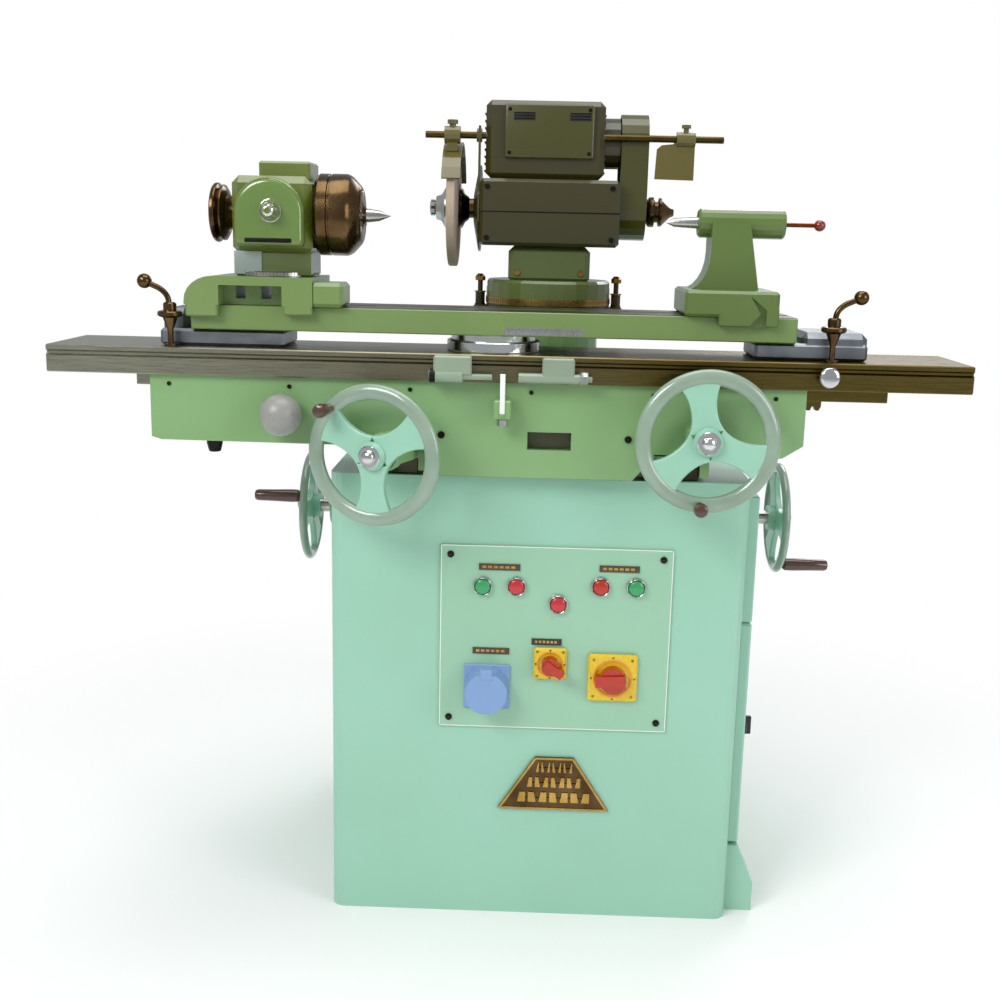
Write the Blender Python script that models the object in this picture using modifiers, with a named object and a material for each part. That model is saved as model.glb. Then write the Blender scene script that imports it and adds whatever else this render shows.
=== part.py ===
"""Universal tool and cutter grinder: the construction, in metres, +Z up.

X runs along the table, -Y faces the operator. The origin is the middle of the floor plate.
"""
import bmesh
import bpy
from math import cos, pi, radians, sin
from mathutils import Matrix, Vector

MM = 0.001
GAP = 0.4 * MM                 # between faces that rest on each other
RUN = 0.6 * MM                 # running clearance round shafts

# cabinet
CABINET_WIDTH = 604 * MM
CABINET_DEPTH = 540 * MM
CABINET_HEIGHT = 680 * MM
CABINET_WALL = 8 * MM
CORNER_RADIUS = 18 * MM
PANEL_WIDTH = 335 * MM
PANEL_HEIGHT = 277 * MM
PANEL_X = 27 * MM
PANEL_Z = 441 * MM
PANEL_THICK = 3 * MM
DOOR_LOW = 110 * MM
DOOR_HIGH = 462 * MM
DOOR_DEPTH = 470 * MM
DOOR_THICK = 18 * MM
# ways, saddle and tables
RAIL_X = 200 * MM
RAIL_WIDTH = 50 * MM
RAIL_HEIGHT = 24 * MM
SADDLE_LEFT = -547 * MM
SADDLE_RIGHT = 362 * MM
SADDLE_FRONT = -300 * MM
SADDLE_BACK = -150 * MM
SADDLE_LOW = 727 * MM
SADDLE_TOP = 819 * MM
GUIDE_WIDTH = 70 * MM
GUIDE_DEPTH = 20 * MM
TABLE_LEFT = -688 * MM
TABLE_RIGHT = 584 * MM
TABLE_FRONT = -310 * MM
TABLE_BACK = -150 * MM
TABLE_THICK = 38 * MM
SWIVEL_LEFT = -490 * MM
SWIVEL_RIGHT = 345 * MM
SWIVEL_FRONT = -290 * MM
SWIVEL_BACK = -170 * MM
SWIVEL_THICK = 34 * MM
SWIVEL_GAP = 24 * MM
PIVOT_X = -72 * MM
PIVOT_RADIUS = 66 * MM
SLOT_WIDTH = 14 * MM
SLOT_DEPTH = 16 * MM
# heads
CENTRE_HEIGHT = 125 * MM       # centres above the swivel table
CENTRE_Y = -228 * MM
WORKHEAD_X = -380 * MM
TAILSTOCK_X = 255 * MM
COLUMN_X = 5 * MM
COLUMN_Y = 0 * MM
RAM_RADIUS = 62 * MM
BASE_RADIUS = 98 * MM
SPINDLE_Z = 1058 * MM
MOTOR_Z = 1160 * MM
WHEEL_RADIUS = 90 * MM
WHEEL_X = -147 * MM
ROD_Z = 1165 * MM
ROD_Y = -52 * MM
# handwheels
FRONT_WHEEL_RADIUS = 98 * MM
CROSS_WHEEL = (-228 * MM, -352 * MM, 721 * MM)
CROSS_TILT = radians(18)
TRAVERSE_WHEEL = (223 * MM, -352 * MM, 752 * MM)
SIDE_WHEEL_RADIUS = 90 * MM
SIDE_SHAFT_Z = 573 * MM
SIDE_LEFT_X = -376 * MM
SIDE_RIGHT_X = 392 * MM
SHAFT_RADIUS = 11 * MM
SCREW_RADIUS = 10 * MM
GEAR_INNER = 20 * MM
GEAR_OUTER = 34 * MM

CABINET_RIGHT = CABINET_WIDTH / 2
CABINET_FRONT = -CABINET_DEPTH / 2
TABLE_LOW = SADDLE_TOP + GAP
TABLE_TOP = TABLE_LOW + TABLE_THICK
SWIVEL_LOW = TABLE_TOP + SWIVEL_GAP
SWIVEL_TOP = SWIVEL_LOW + SWIVEL_THICK
CENTRE_Z = SWIVEL_TOP + CENTRE_HEIGHT
RAIL_TOP = CABINET_HEIGHT + GAP + RAIL_HEIGHT
SADDLE_MID_Y = (TABLE_FRONT + TABLE_BACK) / 2

for leftover in list(bpy.data.objects):
    bpy.data.objects.remove(leftover)
PARTS = bpy.data.collections.new("tool_grinder")
TOOLS = bpy.data.collections.new("tool_grinder_cutters")
bpy.context.scene.collection.children.link(PARTS)
bpy.context.scene.collection.children.link(TOOLS)


def paint(name, colour, roughness, metallic=0.0):
    """A plain material with one Principled shader."""
    material = bpy.data.materials.new(name)
    material.use_nodes = True
    shader = material.node_tree.nodes["Principled BSDF"]
    shader.inputs["Base Color"].default_value = (*colour, 1)
    shader.inputs["Roughness"].default_value = roughness
    shader.inputs["Metallic"].default_value = metallic
    return material


FINISH = {
    "mint": ((0.35, 0.62, 0.47), 0.5, 0),
    "green": ((0.29, 0.47, 0.22), 0.5, 0),
    "olive": ((0.07, 0.07, 0.02), 0.5, 0),
    "ground": ((0.12, 0.11, 0.09), 0.35, 0.8),
    "steel": ((0.5, 0.5, 0.5), 0.3, 1),
    "bronze": ((0.3, 0.14, 0.06), 0.35, 0.8),
    "black": ((0.02, 0.02, 0.02), 0.5, 0),
    "yellow": ((0.85, 0.55, 0.05), 0.4, 0),
    "red": ((0.75, 0.1, 0.03), 0.35, 0),
    "lamp_green": ((0.05, 0.4, 0.15), 0.3, 0),
    "blue": ((0.2, 0.35, 0.65), 0.45, 0),
    "grit": ((0.45, 0.38, 0.35), 0.9, 0),
    "grey": ((0.3, 0.3, 0.3), 0.4, 0),
}


def shown(mesh, name, at=(0, 0, 0)):
    """A new object from a mesh, kept with the cutters until it becomes a part."""
    thing = bpy.data.objects.new(name, mesh)
    thing.location = at
    TOOLS.objects.link(thing)
    thing.hide_render = True
    thing.display_type = "WIRE"
    return thing


def block(low, high, bevel=0.0, segments=1, upright=False):
    """A box between two corners; upright rounds only its vertical edges."""
    low, high = Vector(low), Vector(high)
    bm = bmesh.new()
    bmesh.ops.create_cube(bm, size=1)
    bmesh.ops.scale(bm, vec=high - low, verts=bm.verts)
    if bevel:
        edges = [e for e in bm.edges
                 if not upright or abs(e.verts[0].co.z - e.verts[1].co.z) > 1e-6]
        bmesh.ops.bevel(bm, geom=edges, offset=bevel, segments=segments, affect="EDGES", profile=0.5)
    mesh = bpy.data.meshes.new("block")
    bm.to_mesh(mesh)
    bm.free()
    return shown(mesh, "block", (low + high) / 2)


TURN = {"x": Matrix.Rotation(pi / 2, 4, "Y"), "y": Matrix.Rotation(-pi / 2, 4, "X"), "z": Matrix.Identity(4)}


def turned(axis, at, profile, sides=16):
    """A turned shape on an axis: profile is (distance along, radius) pairs from low to high."""
    mesh = bpy.data.meshes.new("turned")
    points = [(0, 0, profile[-1][0])] if profile[-1][1] > 0 else []
    points += [(radius, 0, along) for along, radius in reversed(profile)]
    if profile[0][1] > 0:
        points.append((0, 0, profile[0][0]))
    mesh.from_pydata(points, [(i, i + 1) for i in range(len(points) - 1)], [])
    thing = shown(mesh, "turned", at)
    thing.rotation_euler = TURN[axis].to_euler()
    screw = thing.modifiers.new("turn", "SCREW")
    screw.axis = "Z"
    screw.steps = sides
    screw.render_steps = sides
    screw.use_merge_vertices = True
    screw.merge_threshold = 0.00005
    return thing


def rod(axis, at, length, radius, sides=16):
    """A plain cylinder that starts at a point and runs along an axis."""
    return turned(axis, at, [(0, radius), (length, radius)], sides)


def ring(axis, at, profile, sides=16):
    """A turned shape with a bore: profile is a closed loop of (along, radius) pairs."""
    mesh = bpy.data.meshes.new("ring")
    points = [(radius, 0, along) for along, radius in profile]
    count = len(points)
    mesh.from_pydata(points, [(i, (i + 1) % count) for i in range(count)], [])
    thing = shown(mesh, "ring", at)
    thing.rotation_euler = TURN[axis].to_euler()
    screw = thing.modifiers.new("turn", "SCREW")
    screw.axis = "Z"
    screw.steps = sides
    screw.render_steps = sides
    screw.use_merge_vertices = True
    screw.merge_threshold = 0.00005
    return thing


def clear(radius, sides=12):
    """Bore radius whose flats stay a running clearance off a shaft that turns in it."""
    return (radius + RUN) / cos(pi / sides)


def ball(at, radius, sides=12):
    """A small sphere."""
    bm = bmesh.new()
    bmesh.ops.create_uvsphere(bm, u_segments=sides, v_segments=sides // 2, radius=radius)
    mesh = bpy.data.meshes.new("ball")
    bm.to_mesh(mesh)
    bm.free()
    return shown(mesh, "ball", at)


def plate(plane, outline, start, thick):
    """A flat outline filled and extruded: plane is xz, xy or yz, start is its low face."""
    curve = bpy.data.curves.new("plate", "CURVE")
    curve.dimensions = "2D"
    curve.fill_mode = "BOTH"
    curve.extrude = thick / 2
    spline = curve.splines.new("POLY")
    spline.points.add(len(outline) - 1)
    for point, (u, v) in zip(spline.points, outline):
        point.co = (u, v, 0, 1)
    spline.use_cyclic_u = True
    thing = bpy.data.objects.new("plate", curve)
    TOOLS.objects.link(thing)
    middle = start + thick / 2
    if plane == "xy":
        thing.location = (0, 0, middle)
    elif plane == "xz":
        thing.location = (0, middle, 0)
        thing.rotation_euler = (pi / 2, 0, 0)
    else:
        thing.location = (middle, 0, 0)
        thing.rotation_euler = (pi / 2, 0, pi / 2)
    return as_mesh(thing)


def pipe(points, radius):
    """A round bar along points."""
    curve = bpy.data.curves.new("pipe", "CURVE")
    curve.dimensions = "3D"
    curve.bevel_depth = radius
    curve.bevel_resolution = 2
    curve.use_fill_caps = True
    spline = curve.splines.new("POLY")
    spline.points.add(len(points) - 1)
    for point, place in zip(spline.points, points):
        point.co = (*place, 1)
    thing = bpy.data.objects.new("pipe", curve)
    TOOLS.objects.link(thing)
    return as_mesh(thing)


def as_mesh(thing):
    """The curve as a welded mesh object in the same place."""
    bpy.context.view_layer.update()
    mesh = bpy.data.meshes.new_from_object(thing.evaluated_get(bpy.context.evaluated_depsgraph_get()))
    bm = bmesh.new()
    bm.from_mesh(mesh)
    bmesh.ops.remove_doubles(bm, verts=bm.verts, dist=0.00002)
    bm.to_mesh(mesh)
    bm.free()
    solid = shown(mesh, thing.name)
    solid.matrix_world = thing.matrix_world
    bpy.data.objects.remove(thing)
    return solid


def pivot(name, at, parent=None, turn=(0, 0, 0)):
    """An empty on a joint's axis that carries the pieces that move with it."""
    empty = bpy.data.objects.new("pivot_" + name, None)
    empty.location = at
    empty.rotation_euler = turn
    empty.empty_display_size = 0.03
    PARTS.objects.link(empty)
    if parent:
        hang(empty, parent)
    return empty


def hang(thing, parent):
    """Parent a thing and keep it where it is."""
    bpy.context.view_layer.update()
    world = thing.matrix_world.copy()
    thing.parent = parent
    thing.matrix_parent_inverse = parent.matrix_world.inverted()
    thing.matrix_world = world


def node(name, carrier, finish, base, add=(), cut=()):
    """Turn a base shape into a named part: other shapes are united, then cutters are taken out."""
    TOOLS.objects.unlink(base)
    PARTS.objects.link(base)
    base.name = name
    base.data.name = name
    base.hide_render = False
    base.display_type = "TEXTURED"
    base.data.materials.clear()
    base.data.materials.append(paint(name + "_" + finish, *FINISH[finish]))
    for kind, shapes in (("UNION", add), ("DIFFERENCE", cut)):
        if shapes:
            group = bpy.data.collections.new(name + "_" + kind.lower())
            TOOLS.children.link(group)
            boolean = base.modifiers.new(kind.lower(), "BOOLEAN")
            boolean.operation = kind
            boolean.solver = "EXACT"
            boolean.operand_type = "COLLECTION"
            boolean.collection = group
            for shape in shapes:
                TOOLS.objects.unlink(shape)
                group.objects.link(shape)
                hang(shape, base)
    hang(base, carrier)
    base.data.shade_smooth()
    base.data.set_sharp_from_angle(angle=radians(35))
    return base


# ---------------------------------------------------------------- cabinet
FRAME = pivot("base", (0, 0, 0))


def foot(x, y, turn):
    """A holding-down lug with a sloped gusset."""
    lug = plate("xz", [(-6 * MM, 0), (44 * MM, 0), (44 * MM, 46 * MM), (18 * MM, 108 * MM), (-6 * MM, 108 * MM)],
                -25 * MM, 50 * MM)
    lug.matrix_world = Matrix.Translation((x, y, 0)) @ Matrix.Rotation(turn, 4, "Z") @ lug.matrix_world
    return lug


def hinge_knuckles():
    """Two hinge pins behind the door with the leaves that fix them to the wall."""
    x = CABINET_RIGHT + GAP + DOOR_THICK / 2
    y = DOOR_DEPTH / 2 + 6 * MM
    shapes = []
    for z in (DOOR_LOW + 60 * MM, DOOR_HIGH - 60 * MM):
        shapes.append(rod("z", (x, y, z - 20 * MM), 40 * MM, 5 * MM, 10))
        shapes.append(block((CABINET_RIGHT - 2 * MM, y - 2 * MM, z - 18 * MM), (x, y + 3 * MM, z + 18 * MM)))
    return shapes


def screw_bridge():
    """Bracket under the cabinet top that carries the elevating screw."""
    low = SIDE_SHAFT_Z + GEAR_OUTER + 6 * MM + GAP
    high = CABINET_HEIGHT - 12 * MM - GAP
    bridge = block((COLUMN_X - 90 * MM, COLUMN_Y - 40 * MM, low), (COLUMN_X + 90 * MM, COLUMN_Y + 40 * MM, low + 12 * MM))
    legs = [block((COLUMN_X + x - 6 * MM, COLUMN_Y - 40 * MM, low), (COLUMN_X + x + 6 * MM, COLUMN_Y + 40 * MM, high))
            for x in (-84 * MM, 84 * MM)]
    hole = rod("z", (COLUMN_X, COLUMN_Y, low - MM), 14 * MM, clear(SCREW_RADIUS), 12)
    node("screw_bracket", FRAME, "grey", bridge, legs, [hole])


def cabinet():
    """Floor cabinet: a welded shell with a raised right strip, a doorway and a hole behind the switch plate."""
    shell = block((-CABINET_RIGHT, CABINET_FRONT, 0), (CABINET_RIGHT, -CABINET_FRONT, CABINET_HEIGHT),
                  CORNER_RADIUS, 3, upright=True)
    wall = CABINET_WALL
    hollow = block((-CABINET_RIGHT + wall, CABINET_FRONT + wall, 12 * MM),
                   (CABINET_RIGHT - wall, -CABINET_FRONT - wall, CABINET_HEIGHT - 12 * MM))
    doorway = block((CABINET_RIGHT - 3 * wall, -DOOR_DEPTH / 2 + 25 * MM, DOOR_LOW + 25 * MM),
                    (CABINET_RIGHT + wall, DOOR_DEPTH / 2 - 25 * MM, DOOR_HIGH - 25 * MM))
    window = block((PANEL_X - PANEL_WIDTH / 2 + 20 * MM, CABINET_FRONT - wall, PANEL_Z - PANEL_HEIGHT / 2 + 20 * MM),
                   (PANEL_X + PANEL_WIDTH / 2 - 20 * MM, CABINET_FRONT + 2 * wall, PANEL_Z + PANEL_HEIGHT / 2 - 20 * MM))
    shaft = rod("x", (-CABINET_RIGHT - 60 * MM, COLUMN_Y, SIDE_SHAFT_Z), CABINET_WIDTH + 120 * MM,
                clear(SHAFT_RADIUS))
    screw = rod("z", (COLUMN_X, COLUMN_Y, CABINET_HEIGHT - 30 * MM), 60 * MM, RAM_RADIUS + 3 * MM, 20)
    bosses = [rod("x", (side, COLUMN_Y, SIDE_SHAFT_Z), 48 * MM, 30 * MM)
              for side in (-CABINET_RIGHT - 40 * MM, CABINET_RIGHT - 8 * MM)]
    strip = block((CABINET_RIGHT - 2 * MM, -DOOR_DEPTH / 2, DOOR_HIGH + 2 * MM),
                  (CABINET_RIGHT + DOOR_THICK, DOOR_DEPTH / 2, 655 * MM), 2 * MM)
    feet = [foot(CABINET_RIGHT, -215 * MM, 0), foot(CABINET_RIGHT, 215 * MM, 0),
            foot(-215 * MM, -CABINET_FRONT, pi / 2)]
    node("base_cabinet", FRAME, "mint", shell, [strip] + bosses + feet + hinge_knuckles(),
         [hollow, screw, doorway, window, shaft])


def door():
    """Pan-shaped access door hung on the right wall behind two knuckles."""
    inner = CABINET_RIGHT + GAP
    hinge = pivot("door", (inner + DOOR_THICK / 2, DOOR_DEPTH / 2 + 6 * MM, (DOOR_LOW + DOOR_HIGH) / 2), FRAME)
    pan = block((inner, -DOOR_DEPTH / 2, DOOR_LOW), (inner + DOOR_THICK, DOOR_DEPTH / 2, DOOR_HIGH), 3 * MM)
    recess = block((inner - MM, -DOOR_DEPTH / 2 + 12 * MM, DOOR_LOW + 12 * MM),
                   (inner + DOOR_THICK - 3 * MM, DOOR_DEPTH / 2 - 12 * MM, DOOR_HIGH - 12 * MM))
    latch_at = (inner - 3 * MM, -DOOR_DEPTH / 2 + 45 * MM, (DOOR_LOW + DOOR_HIGH) / 2)
    hole = rod("x", latch_at, DOOR_THICK + 6 * MM, clear(6 * MM), 12)
    node("side_door", hinge, "mint", pan, cut=[recess, hole])
    latch = pivot("door_latch", latch_at, hinge)
    skin = inner + DOOR_THICK
    knob = turned("x", (skin - 3 * MM - GAP - 6 * MM, latch_at[1], latch_at[2]),
                  [(0, 6 * MM), (9 * MM + 2 * GAP, 6 * MM), (9 * MM + 2 * GAP, 15 * MM), (16 * MM, 15 * MM),
                   (18 * MM, 12 * MM)])
    grip = block((skin + 6 * MM, latch_at[1] - 4 * MM, latch_at[2] - 14 * MM),
                 (skin + 16 * MM, latch_at[1] + 4 * MM, latch_at[2] + 14 * MM), MM)
    tongue = block((skin - 9 * MM - GAP, latch_at[1] - 20 * MM, latch_at[2] - 7 * MM),
                   (skin - 5 * MM - GAP, latch_at[1] + 6 * MM, latch_at[2] + 7 * MM))
    node("door_latch", latch, "black", knob, [grip, tongue])


def contactors():
    """Mounting plate with contactors, overload relays and a terminal strip on the left wall."""
    wall = -CABINET_RIGHT + CABINET_WALL + GAP
    board = block((wall, -120 * MM, 180 * MM), (wall + 4 * MM, 140 * MM, 470 * MM))
    rows = []
    for y in (-90 * MM, -20 * MM, 50 * MM):
        for z, tall in ((390 * MM, 60 * MM), (300 * MM, 50 * MM)):
            rows.append(block((wall + 3 * MM, y, z), (wall + 70 * MM, y + 50 * MM, z + tall), 3 * MM))
    rows.append(block((wall + 3 * MM, -100 * MM, 210 * MM), (wall + 40 * MM, 120 * MM, 240 * MM)))
    node("contactor_board", FRAME, "grey", board, rows)


cabinet()
screw_bridge()
door()
contactors()

# ---------------------------------------------------------------- switch plate
PANEL_BACK = CABINET_FRONT - GAP
PANEL_FACE = PANEL_BACK - PANEL_THICK
BUTTONS = {
    "start_green_left": (-79 * MM, 520 * MM, "lamp_green"),
    "stop_red_left": (-30 * MM, 521 * MM, "red"),
    "stop_red_centre": (31 * MM, 496 * MM, "red"),
    "stop_red_right": (92 * MM, 524 * MM, "red"),
    "start_green_right": (143 * MM, 524 * MM, "lamp_green"),
}
BUTTON_RADIUS = 11 * MM
BUTTON_TRAVEL = 4 * MM
BEZEL_RADIUS = 15 * MM
SMALL_SWITCH = (22 * MM, 406 * MM, 48 * MM)
MAIN_SWITCH = (114 * MM, 387 * MM, 72 * MM)
SOCKET_AT = (-70 * MM, 367 * MM)


def badge():
    """Bare trapezoid plate with plain raised bars."""
    face = CABINET_FRONT - GAP
    body = plate("xz", [(-50 * MM, 174 * MM), (116 * MM, 174 * MM), (62 * MM, 257 * MM), (4 * MM, 257 * MM)],
                 face - 4 * MM, 4 * MM)
    bars = [block((33 * MM - half, face - 5.5 * MM, z), (33 * MM + half, face - 3 * MM, z + 5 * MM))
            for half, z in ((52 * MM, 188 * MM), (38 * MM, 212 * MM), (24 * MM, 236 * MM))]
    node("name_plate", FRAME, "bronze", body, bars)


def switch_plate():
    """Sheet plate with its holes, corner screws, label strips and the fixed parts of each control."""
    sheet = block((PANEL_X - PANEL_WIDTH / 2, PANEL_FACE, PANEL_Z - PANEL_HEIGHT / 2),
                  (PANEL_X + PANEL_WIDTH / 2, PANEL_BACK, PANEL_Z + PANEL_HEIGHT / 2))
    holes = [rod("y", (x, PANEL_FACE - MM, z), PANEL_THICK + 2 * MM, clear(BUTTON_RADIUS), 12)
             for x, z, _ in BUTTONS.values()]
    for x, z, _ in (SMALL_SWITCH, MAIN_SWITCH):
        holes.append(rod("y", (x, PANEL_FACE - MM, z), PANEL_THICK + 2 * MM, clear(5 * MM), 12))
    screws = []
    for x in (PANEL_X - PANEL_WIDTH / 2 + 14 * MM, PANEL_X + PANEL_WIDTH / 2 - 14 * MM):
        for z in (PANEL_Z - PANEL_HEIGHT / 2 + 14 * MM, PANEL_Z + PANEL_HEIGHT / 2 - 14 * MM):
            screws.append(turned("y", (x, PANEL_FACE - 2.5 * MM, z), [(0, 3.5 * MM), (4 * MM, 5 * MM)], 6))
    labels = []
    for x, z, wide in ((-55 * MM, 549 * MM, 60 * MM), (118 * MM, 551 * MM, 58 * MM), (-65 * MM, 422 * MM, 54 * MM),
                       (16 * MM, 438 * MM, 44 * MM)):
        labels.append(block((x - wide / 2, PANEL_FACE - 1.5 * MM, z - 5 * MM),
                            (x + wide / 2, PANEL_FACE + MM, z + 5 * MM)))
    bezels = [ring("y", (x, PANEL_FACE - 6 * MM, z),
                   [(7 * MM, clear(BUTTON_RADIUS)), (7 * MM, BEZEL_RADIUS), (0, BEZEL_RADIUS - 2 * MM),
                    (0, clear(BUTTON_RADIUS))], 12) for x, z, _ in BUTTONS.values()]
    node("switch_panel", FRAME, "mint", sheet, screws + labels + bezels, holes)


def button(name, x, z, finish):
    """A sprung push button with its plunger and contact block behind the plate."""
    slide = pivot(name, (x, PANEL_FACE, z), FRAME)
    head = turned("y", (x, PANEL_FACE - GAP - 10 * MM, z),
                  [(0, BUTTON_RADIUS - 2 * MM), (1.5 * MM, BUTTON_RADIUS), (24 * MM, BUTTON_RADIUS),
                   (24 * MM, 4 * MM), (40 * MM, 4 * MM)], 14)
    node("button_" + name, slide, finish, head)


def rotary_switch(name, spec, knob_points, tilt):
    """A square switch escutcheon with a turning handle; the handle outline is drawn at zero turn."""
    x, z, side = spec
    face = PANEL_FACE - GAP
    escutcheon = block((x - side / 2, face - 8 * MM, z - side / 2), (x + side / 2, face, z + side / 2), 3 * MM)
    bore = rod("y", (x, face - 20 * MM, z), 40 * MM, clear(5 * MM), 12)
    dish = rod("y", (x, face - 20 * MM, z), 14 * MM, side * 0.36, 16)
    turn = pivot(name + "_knob", (x, face - 8 * MM, z), FRAME)
    hub = rod("y", (x, face - 22 * MM, z), 15.6 * MM, side * 0.27, 16)
    stem = rod("y", (x, face - 10 * MM, z), 30 * MM, 5 * MM, 12)
    bar = plate("xz", knob_points, -14 * MM, 14 * MM)
    bar.matrix_world = Matrix.Translation((x, face - 12 * MM, z)) @ Matrix.Rotation(tilt, 4, "Y") @ bar.matrix_world
    node(name + "_knob", turn, "red", hub, [bar, stem])
    node(name + "_plate", FRAME, "yellow", escutcheon, cut=[bore, dish])


def socket():
    """Round inlet socket with a sprung flap lid hinged at its top."""
    x, z = SOCKET_AT
    face = PANEL_FACE - GAP
    shell = turned("y", (x, face - 30 * MM, z),
                   [(24 * MM, 24 * MM), (0, 24 * MM), (0, 29 * MM), (28.5 * MM, 33 * MM)], 18)
    flange = block((x - 34 * MM, face - 4 * MM, z - 34 * MM), (x + 34 * MM, face, z + 34 * MM), 1.5 * MM)
    pins = [rod("y", (x + 11 * MM * cos(a), face - 18 * MM, z + 11 * MM * sin(a)), 15 * MM, 3 * MM, 8)
            for a in (pi / 2, pi * 7 / 6, -pi / 6)]
    node("socket_body", FRAME, "blue", shell, [flange] + pins)
    hinge = pivot("socket_lid", (x, face - 34 * MM, z + 33 * MM), FRAME)
    lid = rod("y", (x, face - 36 * MM, z), 5.6 * MM, 31 * MM, 18)
    ear = block((x - 9 * MM, face - 37 * MM, z + 22 * MM), (x + 9 * MM, face - 30.4 * MM, z + 37 * MM), MM)
    node("socket_lid", hinge, "blue", lid, [ear])


badge()
switch_plate()
for button_name, (bx, bz, lamp) in BUTTONS.items():
    button(button_name, bx, bz, lamp)
rotary_switch("small_switch", SMALL_SWITCH,
              [(-9 * MM, -6 * MM), (22 * MM, -6 * MM), (22 * MM, 6 * MM), (-9 * MM, 6 * MM)], radians(35))
rotary_switch("main_switch", MAIN_SWITCH,
              [(-26 * MM, -8 * MM), (18 * MM, -10 * MM), (18 * MM, 10 * MM), (-26 * MM, 8 * MM)], 0)
socket()


# ---------------------------------------------------------------- column and elevating gear
def base_ways():
    """Bed plate with two flat rails that guide the saddle to and fro."""
    rails = [block((x - RAIL_WIDTH / 2, CABINET_FRONT + 8 * MM, CABINET_HEIGHT + GAP),
                   (x + RAIL_WIDTH / 2, 100 * MM, RAIL_TOP), 1.5 * MM) for x in (-RAIL_X, RAIL_X)]
    bed = block((-RAIL_X, CABINET_FRONT + 12 * MM, CABINET_HEIGHT + GAP),
                (RAIL_X, COLUMN_Y - 105 * MM, CABINET_HEIGHT + 5 * MM))
    node("base_ways", FRAME, "ground", rails[0], rails[1:] + [bed])


HOUSING_TOP = 870 * MM
RAM_LOW = 692 * MM
RAM_TOP = 912 * MM
FLANGE_THICK = 15 * MM
BOLT_X = 106 * MM


def column():
    """Round housing on the cabinet top with the ram that slides in it."""
    at = (COLUMN_X, COLUMN_Y)
    housing = turned("z", (*at, CABINET_HEIGHT + GAP),
                     [(0, 95 * MM), (18 * MM, 95 * MM), (22 * MM, 84 * MM), (HOUSING_TOP - CABINET_HEIGHT - 6 * MM, 80 * MM),
                      (HOUSING_TOP - CABINET_HEIGHT, 76 * MM)], 20)
    bore = rod("z", (*at, CABINET_HEIGHT - 10 * MM), HOUSING_TOP - CABINET_HEIGHT + 20 * MM, RAM_RADIUS + RUN, 20)
    node("column_housing", FRAME, "green", housing, cut=[bore])


def ram():
    """Ram with its top flange and two clamp bolts, bored for the elevating screw."""
    lift = pivot("column_ram", (COLUMN_X, COLUMN_Y, RAM_TOP), FRAME)
    post = turned("z", (COLUMN_X, COLUMN_Y, RAM_LOW),
                  [(0, RAM_RADIUS), (RAM_TOP - RAM_LOW - FLANGE_THICK, RAM_RADIUS),
                   (RAM_TOP - RAM_LOW - FLANGE_THICK, BASE_RADIUS), (RAM_TOP - RAM_LOW, BASE_RADIUS)], 20)
    ears = block((COLUMN_X - 120 * MM, COLUMN_Y - 16 * MM, RAM_TOP - FLANGE_THICK),
                 (COLUMN_X + 120 * MM, COLUMN_Y + 16 * MM, RAM_TOP - 3 * MM), 4 * MM)
    well = rod("z", (COLUMN_X, COLUMN_Y, RAM_LOW + 30 * MM), RAM_TOP - RAM_LOW - 50 * MM, SCREW_RADIUS + 6 * MM, 12)
    nut = rod("z", (COLUMN_X, COLUMN_Y, RAM_LOW - 5 * MM), 60 * MM, clear(SCREW_RADIUS), 12)
    bolts = []
    for x in (COLUMN_X - BOLT_X - 2 * MM, COLUMN_X + BOLT_X + 2 * MM):
        bolts.append(turned("z", (x, COLUMN_Y, RAM_TOP - 5 * MM),
                            [(0, 8.5 * MM), (4 * MM, 8.5 * MM), (4 * MM, 7.5 * MM), (22 * MM, 7.5 * MM), (22 * MM, 4 * MM),
                             (40 * MM, 4 * MM), (44 * MM, 6 * MM), (48 * MM, 6 * MM), (50 * MM, 4 * MM)], 10))
    node("column_ram", lift, "ground", post, [ears] + bolts, [well, nut])
    return lift


def elevating_gear():
    """Cross shaft with its bevel gear, the elevating screw and the bracket that holds the screw up."""
    axis = pivot("cross_shaft", (COLUMN_X, COLUMN_Y, SIDE_SHAFT_Z), FRAME)
    shaft = rod("x", (SIDE_LEFT_X - 12 * MM, COLUMN_Y, SIDE_SHAFT_Z), SIDE_RIGHT_X - SIDE_LEFT_X + 24 * MM,
                SHAFT_RADIUS)
    bevel = turned("x", (COLUMN_X, COLUMN_Y, SIDE_SHAFT_Z),
                   [(GEAR_INNER, GEAR_INNER - MM), (GEAR_OUTER, GEAR_OUTER - MM), (GEAR_OUTER + 10 * MM, 20 * MM)], 16)
    node("cross_shaft", axis, "steel", shaft, [bevel])
    screw_axis = pivot("elevating_screw", (COLUMN_X, COLUMN_Y, SIDE_SHAFT_Z), FRAME)
    top = 850 * MM - SIDE_SHAFT_Z
    screw = turned("z", (COLUMN_X, COLUMN_Y, SIDE_SHAFT_Z),
                   [(GEAR_INNER, GEAR_INNER - MM), (GEAR_OUTER, GEAR_OUTER - MM), (GEAR_OUTER + 6 * MM, 20 * MM),
                    (GEAR_OUTER + 6 * MM, SCREW_RADIUS), (top, SCREW_RADIUS)], 16)
    node("elevating_screw", screw_axis, "steel", screw)
    return axis


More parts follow.
